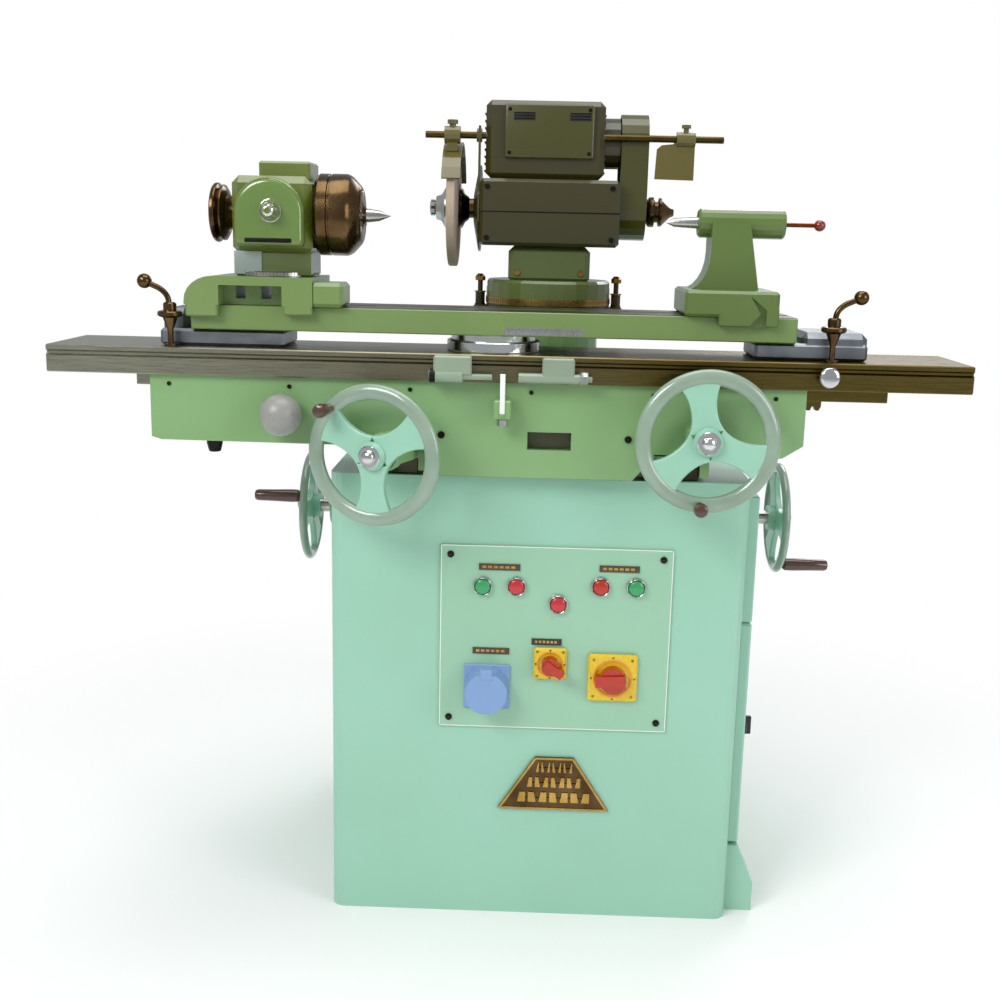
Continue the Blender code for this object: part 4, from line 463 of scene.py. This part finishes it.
RIM = enamel("enamel_grey_green_rim_worn", "#8DA390", "#7C8F7C", 0.2, 0.7, 60)
CROSS_AT = Vector(mm((-228, -352, 721)))
TILT = Matrix.Translation(CROSS_AT) @ SWING @ Matrix.Translation(-CROSS_AT)
FRONT_RADIUS, FRONT_RIM, SIDE_RADIUS, SIDE_RIM = 98 * MM, 11 * MM, 90 * MM, 9 * MM
TRAVERSE_AT = Vector(mm((223, -352, 752)))
LEFT_AT, RIGHT_AT = Vector(mm((-376, 0, 573))), Vector(mm((392, 0, 573)))
WHEELS = (("cross_handwheel", "cross_wheel", CROSS_AT, "y", 1, FRONT_RADIUS, radians(30), FRONT_RIM, TILT),
          ("traverse_handwheel", "traverse_wheel", TRAVERSE_AT, "y", 1, FRONT_RADIUS, radians(100),
           FRONT_RIM), ("side_handwheel_left", "cross_shaft", LEFT_AT, "x", -1, SIDE_RADIUS, pi / 6,
                        SIDE_RIM), ("side_handwheel_right", "cross_shaft", RIGHT_AT, "x", 1, SIDE_RADIUS,
                                    pi / 6, SIDE_RIM))
for spec in WHEELS:
    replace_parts(wheel(*spec), spec[0])

# shafts of the two front handwheels, seen behind them
turned("traverse_shaft", "y", mm((223, -350, 752)), mm([(0, 0), (0, 11), (55, 11), (55, 0)]), STEEL,
       "traverse_wheel", 48)
turned("cross_stub", "y", mm((-228, -350, 721)), mm([(0, 0), (0, 11), (50, 11), (50, 0)]), STEEL,
       "cross_wheel", 48, turn=TILT)


def crank(name, node, body, at, length, turned_by=None):
    """Waisted crank grip on its bright pin, standing off the rim towards the operator."""
    shape = [(0, 0), (0, 5 * MM), (1.5 * MM, 8 * MM), (5 * MM, 9.6 * MM), (12 * MM, 9.8 * MM),
             (24 * MM, 8.2 * MM), (length - 5 * MM, 7 * MM), (length - 1 * MM, 6.4 * MM),
             (length, 5.5 * MM), (length, 0)]
    grip = turned(name, "y", (at[0], at[1] - length, at[2]), shape, GRIP, body, 48, turn=turned_by)
    turned(name + "_pin", "y", (at[0], at[1] - 1 * MM, at[2]), mm([(0, 0), (0, 4), (4, 4), (4, 0)]),
           CHROME, body, 32, turn=turned_by)
    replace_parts(grip, node)


GRIP_LENGTH = 38 * MM
crank("traverse_crank", "traverse_grip", "traverse_grip", mm((213.9, -359.4, 665.5)), GRIP_LENGTH)
CRANK_RADIUS, CRANK_ANGLE = 87 * MM, radians(135)
crank("cross_crank", "cross_grip", "cross_grip", (CROSS_AT.x + CRANK_RADIUS * cos(CRANK_ANGLE),
                                                  CROSS_AT.y - 7.4 * MM,
                                                  CROSS_AT.z + CRANK_RADIUS * sin(CRANK_ANGLE)),
      GRIP_LENGTH, TILT)
for side, x, y, z in ((-1, -382.2, -75, 603), (1, 398.2, -45, 506)):
    shape = mm([(0, 0), (0, 8), (3, 10), (14, 10.3), (40, 9.4), (66, 9), (70, 7.5), (71, 6), (71, 0)])
    if side < 0:
        shape = [(-along, r) for along, r in shape]
    name = "right" if side > 0 else "left"
    grip = turned("side_crank_" + name, "x", (x * MM, y * MM, z * MM), shape, GRIP, "side_grip_" + name, 48)
    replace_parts(grip, "side_grip_" + name)

# ---------------------------------------------------------------- table lock, dogs and levers
BALL_RADIUS = 29 * MM
shape = [(BALL_RADIUS - BALL_RADIUS * cos(pi * i / 24), BALL_RADIUS * sin(pi * i / 24)) for i in range(22)]
knob = turned("lock_ball", "y", mm((-359, -358, 770)), shape + mm([(55, 10), (57, 9), (60, 0)]), BALL,
              "table_lock", 96)
turned("lock_stem", "y", mm((-359, -304, 770)), mm([(0, 0), (0, 7), (8, 7), (8, 0)]), STEEL, "table_lock",
       32)
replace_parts(knob, "table_lock_knob")
knob = turned("index_knob", "y", mm((386, -328, 839.4)), mm([(0, 0), (0, 9), (1.2, 12), (2.4, 13.4),
                                                             (4, 14), (8, 14), (9.5, 12.5), (12, 7.5),
                                                             (17, 7), (17, 5), (24, 5), (24, 0)]), CHROME,
              "index_plunger", 64)
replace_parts(knob, "index_plunger")
for name, x, side in (("left", -516, -1), ("right", 392, 1)):
    at = Vector((x * MM, -299 * MM, 857.8 * MM))
    shape = mm([(0, 0), (0, 9), (3, 9), (3, 4), (22, 4), (39, 10), (41, 15.5), (42.5, 17), (46.5, 17),
                (48, 15.5), (49.5, 9), (58, 9), (60, 7), (60, 0)])
    stud = turned("clamp_stud_" + name, "z", at, shape, BRONZE, "clamp_lever_" + name, 64)
    foot = at + Vector(mm((0, 0, 54)))
    tip = foot + Vector((side * 34 * MM, 0, 34 * MM))
    tube("clamp_arm_" + name, [foot, foot + Vector((side * 5 * MM, 0, 17 * MM)), tip], 4 * MM, BRONZE,
         "clamp_lever_" + name)
    ball("clamp_ball_" + name, tip, 10 * MM, BRONZE, "clamp_lever_" + name)
    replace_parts(stud, "clamp_lever_" + name)
turned("stop_barrel_left", "x", mm((-156.4, -322.5, 828.4)), mm([(0, 0), (0, 7.6), (1.4, 9), (9, 9),
    (9, 0)]), BLACKENED, "table", 48)
turned("stop_nut_right", "x", mm((50, -322.5, 828.4)), mm([(0, 0), (0, 8.6), (1, 9.3), (9.4, 9.3),
                                                           (10.6, 8.6), (10.6, 0)]), STEEL, "table", 6)

# ---------------------------------------------------------------- switch plate and badge
FACE = -273.4 * MM   # outer face of the switch plate
LABELS = ((-55, 549, 60), (118, 551, 58), (-65, 422, 54), (16, 438, 44))   # x, z, width
for i, (x, z, wide) in enumerate(LABELS):
    box("label_%d" % i, ((x - wide / 2) * MM, FACE - 2.1 * MM, (z - 5) * MM),
        ((x + wide / 2) * MM, FACE - 1.3 * MM, (z + 5) * MM), LABEL if i < 3 else INK, "base", 0.3 * MM, 2)
    for k in range(6):
        left = (x - wide / 2 + 5 + k * (wide - 10) / 6) * MM
        box("label_%d_bar_%d" % (i, k), (left, FACE - 2.3 * MM, (z - 1.8) * MM),
            (left + (wide - 16) / 6 * MM * 0.8, FACE - 2 * MM, (z + 1.8) * MM), GOLD, "base")
low_x, high_x, low_z, high_z, line = -140, 195, 303, 580, 1.2
for i, (x0, z0, x1, z1) in enumerate(((low_x, low_z, high_x, low_z + line),
                                      (low_x, high_z - line, high_x, high_z),
                                      (low_x, low_z, low_x + line, high_z),
                                      (high_x - line, low_z, high_x, high_z))):
    box("panel_edge_%d" % i, (x0 * MM, FACE - 0.25 * MM, z0 * MM), (x1 * MM, FACE + 0.4 * MM, z1 * MM),
        WHITE, "base")
for i, (x, z) in enumerate(((-126, 317), (181, 317), (-126, 566), (181, 566))):
    turned("panel_screw_%d" % i, "y", (x * MM, FACE - 3.2 * MM, z * MM),
           mm([(0, 0), (0, 3), (0.8, 4.6), (2.6, 5.2), (3.4, 5.2)]), BLACKENED, "base", 48)
    # painted shade in the screw's slot
    box("panel_screw_slot_%d" % i, ((x - 4) * MM, FACE - 3.4 * MM, (z - 0.6) * MM),
        ((x + 4) * MM, FACE - 3 * MM, (z + 0.6) * MM), BLACK_AND_SHADE, "base")

BUTTONS = {"start_green_left": (-79, 520, LAMP_GREEN), "stop_red_left": (-30, 521, CRIMSON),
           "stop_red_centre": (31, 496, CRIMSON), "stop_red_right": (92, 524, RED),
           "start_green_right": (143, 524, LAMP_GREEN)}
for name, (x, z, finish) in BUTTONS.items():
    turned("bezel_" + name, "y", (x * MM, FACE - 6.6 * MM, z * MM), mm([(0, 11.8), (-0.6, 12.6), (0, 13.4),
        (3, 14.8), (6.8, 15.2), (6.8, 11.8)]), CHROME, "base", 64, closed=True)
    dome = mm([(0, 0), (0.2, 5), (0.9, 8.6), (2, 10.4), (3.4, 11), (20, 11), (20, 0)])
    cap = turned("cap_" + name, "y", (x * MM, FACE - 10.2 * MM, z * MM), dome, finish, "button_" + name, 64)
    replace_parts(cap, "button_" + name)

# name, x, z and width of each rotary switch's square plate
SWITCHES = (("small", 22, 406, 48), ("main", 114, 387, 72))
for name, x, z, side in SWITCHES:
    for sx in (-1, 1):
        for sz in (-1, 1):
            turned("%s_switch_screw_%d%d" % (name, sx, sz), "y", ((x + sx * side * 0.39) * MM,
                FACE - 9.4 * MM, (z + sz * side * 0.39) * MM), mm([(0, 0), (0.2, 1.8), (1.4, 2.4),
                    (1.4, 0)]), BRASS, "base", 24)
    turned(name + "_switch_ring", "y", (x * MM, FACE - 8.9 * MM, z * MM),
           [(0, side * 0.37 * MM), (-0.3 * MM, side * 0.385 * MM), (0, side * 0.4 * MM),
            (1 * MM, side * 0.4 * MM), (1 * MM, side * 0.37 * MM)], ORANGE, "base", 64, closed=True)
    for k in range(12):
        a = 2 * pi * k / 12
        spot = Vector(((x + side * 0.44 * cos(a)) * MM, FACE - 8.75 * MM, (z + side * 0.44 * sin(a)) * MM))
        if k % 3 == 0:
            box("%s_switch_mark_%d" % (name, k), spot - Vector(mm((1.2, 0, 1.2))),
                spot + Vector(mm((1.2, 0.6, 1.2))), INK, "base")

RELIEF_TALL = 16
for i, (half, z) in enumerate(((56, 186), (42, 210), (29, 234))):
    for k in range(7):
        wide = 2 * half / 7
        left = 33 - half + k * wide
        inset_left, inset_right = (2, 5) if k % 2 else (5, 2)
        outline = [(left + 2, z), (left + wide - 2, z), (left + wide - inset_right, z + RELIEF_TALL),
                   (left + inset_left, z + RELIEF_TALL)]
        sheet("relief_%d_%d" % (i, k), mm(outline), -276.2 * MM, 1.4 * MM, GOLD, "base", 0.5 * MM)
rim = [(-50, 174), (116, 174), (62, 257), (4, 257)]
inner = [(-44, 177), (110, 177), (60, 254), (6, 254)]
for i in range(4):
    a, b, c, d = rim[i], rim[(i + 1) % 4], inner[(i + 1) % 4], inner[i]
    sheet("badge_rim_%d" % i, mm([a, b, c, d]), -275.6 * MM, 1.4 * MM, GOLD, "base", 0.3 * MM)

# ---------------------------------------------------------------- workhead
CENTRE_Z = 1040.4   # height of the axis between centres
at = Vector(mm((-380, -228, CENTRE_Z)))
nose = mm([(57, 0), (57, 49), (59, 53), (63, 56), (76, 56), (77, 54), (79, 54), (80, 56), (100, 56),
           (104, 54.5), (108, 52), (119, 40), (121, 36), (121, 24), (123, 14), (126, 10), (126.4, 9),
           (126.4, 0)])
spindle = turned("work_nose", "x", at, nose, BRONZE, "work_spindle")
turned("work_centre", "x", at, mm([(126, 0), (126, 9.4), (129, 9.4), (144, 7.4), (160, 0.5), (160, 0)]),
       STEEL, "work_spindle", 48)
turned("work_shaft", "x", at, mm([(-92, 0), (-92, 9), (-91, 10), (-56, 10), (-56, 15.6), (58, 15.6),
                                  (58, 0)]), STEEL, "work_spindle", 48)
turned("work_pulley", "x", at, mm([(-89, 0), (-89, 34), (-88, 38), (-86, 40.4), (-83, 41), (-81, 40),
                                   (-80, 37), (-78, 35), (-76, 37), (-75, 38.4), (-73, 38), (-70, 33),
                                   (-68, 26), (-64, 23), (-59, 20), (-58, 20), (-58, 0)]), BRONZE,
       "work_spindle")
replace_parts(spindle, "work_spindle")
for k in range(3):
    a = radians(100 + 120 * k)
    turned("work_nose_screw_%d" % k, "x", at + Vector((0, 30 * MM * cos(a), 30 * MM * sin(a))),
           mm([(119, 0), (122.4, 0), (122.4, 3), (121.6, 4), (119, 4)]), CHROME, "work_spindle", 24)
front = Vector(mm((-376, -292, 1043.4)))
turned("work_boss_cap", "y", front, mm([(-24, 0), (-23.6, 5), (-21, 8.6), (-16, 11), (-10, 11.6), (-6, 12),
                                        (-5, 15.4), (0.6, 15.8), (0.6, 0)]), CHROME, "workhead_swivel", 64)
half, foot_z, head_x, steps = 48, 996, -380, 32
crown = [(head_x - half * cos(pi * i / steps),
          CENTRE_Z + half * sin(pi * i / steps)) for i in range(steps + 1)]
arch = [(head_x - half, foot_z)] + crown + [(head_x + half, foot_z)]
shell = sheet("work_front_arch", mm(arch), -294 * MM, 30 * MM, HEAD_GLOSS, "workhead_swivel", 9 * MM)
shell.modifiers["soften"].segments = 8
box("work_nameplate", mm((-412, -294.6, 1001)), mm((-348, -293, 1007)), BLACKENED, "workhead_swivel",
    0.5 * MM)
turned("work_scale", "z", mm((-380, -228, 955.6)), mm([(0, 0), (0, 56), (5, 56), (6, 55), (6, 0)]), STEEL,
       "workhead_swivel")
WORK_MARKS, WORK_STEP = 37, 5
for k in range(WORK_MARKS):
    a = radians(-180 + WORK_STEP * k)
    spot = Vector((-380 * MM + 56.1 * MM * cos(a), -228 * MM + 56.1 * MM * sin(a), 958.6 * MM))
    tall = 2.2 * MM if k % 2 == 0 else 1.4 * MM
    mark = box("work_scale_mark_%d" % k, (-0.3 * MM, -0.3 * MM, -tall), (0.3 * MM, 0.3 * MM, tall), INK,
               "workhead_swivel")
    mark.data.transform(Matrix.Translation(spot) @ Matrix.Rotation(a, 4, "Z"))

# ---------------------------------------------------------------- wheelhead
SPINDLE_Z = 1058   # height of the wheel spindle
hub = Vector(mm((0, 0, SPINDLE_Z)))
centre = Vector(mm((-147, 0, SPINDLE_Z)))
stone = turned("wheel_stone", "x", centre, mm([(9, 11.5), (9, 34), (6.6, 88.6), (5.4, 90), (-5.4, 90),
                                               (-6.6, 88.6), (-9, 34), (-9, 11.5)]), STONE, "spindle", 144,
               closed=True)
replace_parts(stone, "grinding_wheel")
for side in (-1, 1):
    turned("wheel_blotter_%d" % (side + 1), "x", centre, [(side * 9.05 * MM, 12 * MM),
                                                          (side * 9.3 * MM, 12 * MM),
                                                          (side * 8.7 * MM, 46 * MM),
                                                          (side * 8.4 * MM, 46 * MM)], BLOTTER, "spindle",
           96, closed=True)
flange = turned("wheel_clamp", "x", centre, mm([(-9.4, 11.5), (-9.4, 31), (-10.4, 32), (-13, 31),
                                                (-18, 22), (-20, 20), (-26.4, 18), (-27.4, 17),
                                                (-27.4, 11.5)]), STEEL, "spindle", 96, closed=True)
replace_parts(flange, "wheel_flange")
nose = [(-184, 0), (-184, 9), (-182, 11), (-137.6, 11), (-137.6, 31), (-136.6, 32), (-133, 30), (-129, 22),
        (-124, 18), (-122, 15), (116, 15), (116, 26), (132, 26), (132, 15), (155, 15), (156, 19),
        (158, 22), (160, 23), (166, 23), (167, 22), (168, 16), (173, 16), (174, 21), (175, 22), (178, 22),
        (179, 21), (186, 14), (191, 9), (192, 8), (197, 6), (198, 5), (198, 0)]
spindle = turned("spindle_turned", "x", hub, mm(nose), BRONZE, "spindle")
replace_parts(spindle, "wheel_spindle")
nut = [(-183.6, 0), (-183.6, 11), (-183, 12.4), (-176.8, 12.4), (-176.2, 11), (-176.2, 0)]
turned("wheel_nut", "x", hub, mm(nut), CHROME, "spindle", 6)
box("front_cover", mm((-67.4, -70, 1132)), mm((67.4, -60, 1211)), COVER, "wheelhead", 3.4 * MM, 4)
for i, x in enumerate((-54, 30)):
    # painted shade in the vent opening, behind its bars
    box("vent_%d" % i, (x * MM, -70.3 * MM, 1187 * MM), ((x + 32) * MM, -69.6 * MM, 1199 * MM), BLACK_AND_SHADE,
        "wheelhead", 0.2 * MM, 1)
    for k in range(3):
        box("vent_%d_bar_%d" % (i, k), (x * MM, -71.2 * MM, (1189 + 4 * k) * MM),
            ((x + 32) * MM, -70 * MM, (1190.6 + 4 * k) * MM), BLACKENED, "wheelhead", 0.4 * MM, 2)
for i, (x, z) in enumerate(((-60, 1140), (60, 1140), (-60, 1203), (60, 1203))):
    turned("cover_screw_%d" % i, "y", (x * MM, -71.4 * MM, z * MM), mm([(0, 0), (0.3, 2.4), (2.2, 3.2),
        (2.6, 0)]), BLACKENED, "wheelhead", 32)
FINS, FIN_LOW, FIN_PITCH = 9, 1112, 10.5
for i in range(FINS):
    z = FIN_LOW + FIN_PITCH * i
    for x in (-97.4, 84.2):
        box("fin_%d_%d" % (i, x > 0), ((x - 1.2) * MM, -48 * MM, z * MM),
            ((x + 1.6) * MM, 60 * MM, (z + 3) * MM), OLIVE, "wheelhead", 1.0 * MM, 2)
box("head_seam", mm((-103.4, -72.4, 1052)), mm((110.4, -71.6, 1054)), BLACKENED, "wheelhead", 0.3 * MM)
for i, (x, z) in enumerate(((-92, 1014), (98, 1014), (-92, 1090), (98, 1090))):
    turned("head_screw_%d" % i, "y", (x * MM, -75.4 * MM, z * MM), mm([(0, 0), (0, 3.4), (0.6, 4),
        (3.6, 4), (3.6, 0)]), BLACKENED, "wheelhead", 32)
turned("bearing_cap_left", "x", mm((-103.4, 0, SPINDLE_Z)), mm([(0, 16), (-4, 16), (-5, 17), (-5, 29),
                                                                (-4, 30), (0, 31)]), COVER, "wheelhead",
       96, closed=True)
turned("swivel_dial", "z", mm((5, 0, 912.9)), mm([(0.6, 98.05), (0.6, 98.5), (10, 98.5), (10, 98.05)]),
       BRASS, "wheelhead", 128, closed=True)
SWIVEL_MARKS, SWIVEL_STEP = 61, 3   # marks round the front half, degrees apart
for k in range(SWIVEL_MARKS):
    a = radians(-180 + SWIVEL_STEP * k)
    tall = (4.4 if k % 5 == 0 else 2.6) * MM
    mark = box("swivel_mark_%d" % k, (-0.2 * MM, -0.35 * MM, -tall), (0.35 * MM, 0.35 * MM, tall), INK,
               "wheelhead")
    mark.data.transform(Matrix.Translation((5 * MM + 98.4 * MM * cos(a), 98.4 * MM * sin(a),
                                            918.2 * MM)) @ Matrix.Rotation(a, 4, "Z"))
for side in (-1, 1):
    at = Vector((5 * MM + side * 108 * MM, 0, 907 * MM))
    shape = mm([(39.6, 0), (39.6, 7), (40.6, 8), (46, 8), (48, 6), (50.4, 4), (50.4, 0)])
    turned("tee_nut_%d" % (side + 1), "z", at, shape, BRASS, "column_ram", 6)
    turned("tee_washer_%d" % (side + 1), "z", at, mm([(21.6, 0), (21.6, 9), (23.4, 9), (23.4, 0)]), BRASS,
           "column_ram", 48)
for i, (x, y) in enumerate(((-44, -58.6), (54, -58.6))):
    turned("neck_screw_%d" % i, "y", (x * MM, y * MM - 2 * MM, 962 * MM),
           mm([(0, 0), (0, 4.4), (0.6, 5), (3, 5), (3, 0)]), BRASS, "wheelhead", 32)
for name, x0, x1 in (("left", -188, -96), ("right", 84, 263)):
    turned("guard_rod_" + name, "x", mm((0, -52, 1165)), [(x0 * MM, 0), (x0 * MM, 4.4 * MM),
                                                          ((x0 + 1) * MM, 5.15 * MM),
                                                          ((x1 - 1) * MM, 5.15 * MM), (x1 * MM, 4.4 * MM),
                                                          (x1 * MM, 0)], RODS, "wheelhead", 32)

# ---------------------------------------------------------------- tables and tailstock
box("swivel_top", mm((-489, -289, 915.4)), mm((344, -237.2, 915.65)), IRON, "swivel_table")
box("swivel_top_back", mm((-489, -222.8, 915.4)), mm((344, -171, 915.65)), IRON, "swivel_table")
turned("pivot_disc", "z", mm((-72, -230, 858)), mm([(0, 10), (0, 65), (1, 66.2), (13, 66.2), (14.2, 65),
                                                    (14.2, 60.2), (23, 60.2), (23, 10)]), CHROME,
       "swivel_table", 128, closed=True)
RULE_MARKS, RULE_START, RULE_STEP = 40, -50, 2.5
for k in range(RULE_MARKS):
    x = (RULE_START + RULE_STEP * k) * MM
    box("rule_mark_%d" % k, (x - 0.2 * MM, -290.25 * MM, (886 if k % 4 == 0 else 889) * MM),
        (x + 0.2 * MM, -289.8 * MM, 893 * MM), INK, "swivel_table")
box("rule_strip", mm((-56, -290.2, 884)), mm((54, -289.7, 894)), STEEL, "swivel_table")
tip = Vector(mm((164, -228, CENTRE_Z)))
quill = turned("quill", "x", tip, mm([(0, 0), (0, 0.4), (12, 6), (44, 8), (44, 9), (108, 9), (108, 3),
                                      (120, 3), (120, 0)]), STEEL, "tailstock_quill", 64)
turned("quill_rod", "x", tip, mm([(118, 0), (118, 3), (208, 3), (208, 0)]), RUST, "tailstock_quill", 48)
ball("quill_ball", tip + Vector(mm((214, 0, 0))), 8 * MM, CRIMSON_DARK, "tailstock_quill")
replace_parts(quill, "tailstock_quill")

# ---------------------------------------------------------------- column, cabinet and saddle details
turned("ram_post", "z", mm((5, 0, 700)), mm([(0, 0), (0, 62), (196, 62.2), (196, 0)]), STEEL, "column_ram")
for k in range(4):
    a = pi / 4 + k * pi / 2
    turned("housing_bolt_%d" % k, "z", (5 * MM + 84 * MM * cos(a), 84 * MM * sin(a), 692 * MM),
           mm([(0, 0), (0, 8.6), (1, 9), (7, 9), (8, 8), (8, 0)]), BLACKENED, "base", 6)
# A thin sheet with painted shade where the apron's slot is.
box("saddle_window", mm((-19.6, -283, 726.4)), mm((40.6, -281.4, 750.6)), WINDOW, "saddle")
for i, (x, z) in enumerate(((-140, 744), (120, 744))):
    turned("apron_screw_%d" % i, "y", (x * MM, -303 * MM, z * MM), mm([(0, 0), (0, 4.4), (0.6, 5), (4, 5),
        (4, 0)]), BLACKENED, "saddle", 32)
GIB_SCREWS, GIB_START, GIB_PITCH = 6, -520, 168
for i in range(GIB_SCREWS):
    x = (GIB_START + i * GIB_PITCH) * MM
    turned("gib_screw_%d" % i, "y", (x, -302.2 * MM, 806 * MM), mm([(0, 0), (0, 2.4), (0.5, 3), (3, 3),
        (3, 0)]), BLACKENED, "saddle", 24)
turned("drain_plug", "z", mm((-468, -262, 705.6)), mm([(0, 0), (0, 7.6), (1, 8.6), (12, 11.3), (22, 11.3),
                                                       (22, 0)]), BLACKENED, "saddle", 48)
box("stop_pointer", mm((-58.5, -336.6, 780)), mm((-51.5, -332.6, 834.4)), WHITE, "saddle", 0.8 * MM)
turned("stop_pin_sleeve", "z", mm((-55, -322, 762)), mm([(-0.4, 0), (-0.4, 7.2), (0.6, 8.4), (8.6, 8.4),
                                                         (9.3, 7.6), (9.3, 0)]), CHROME, "stop_plunger", 48)
box("neck_plate_left", mm((-432.4, -271, 957)), mm((-394, -269, 989)), PALE_GREY, "workhead_swivel", 1 * MM)
box("neck_plate_right", mm((-393.4, -270.8, 957)), mm((-326, -269.4, 987)), DIM, "workhead_swivel", 1 * MM)
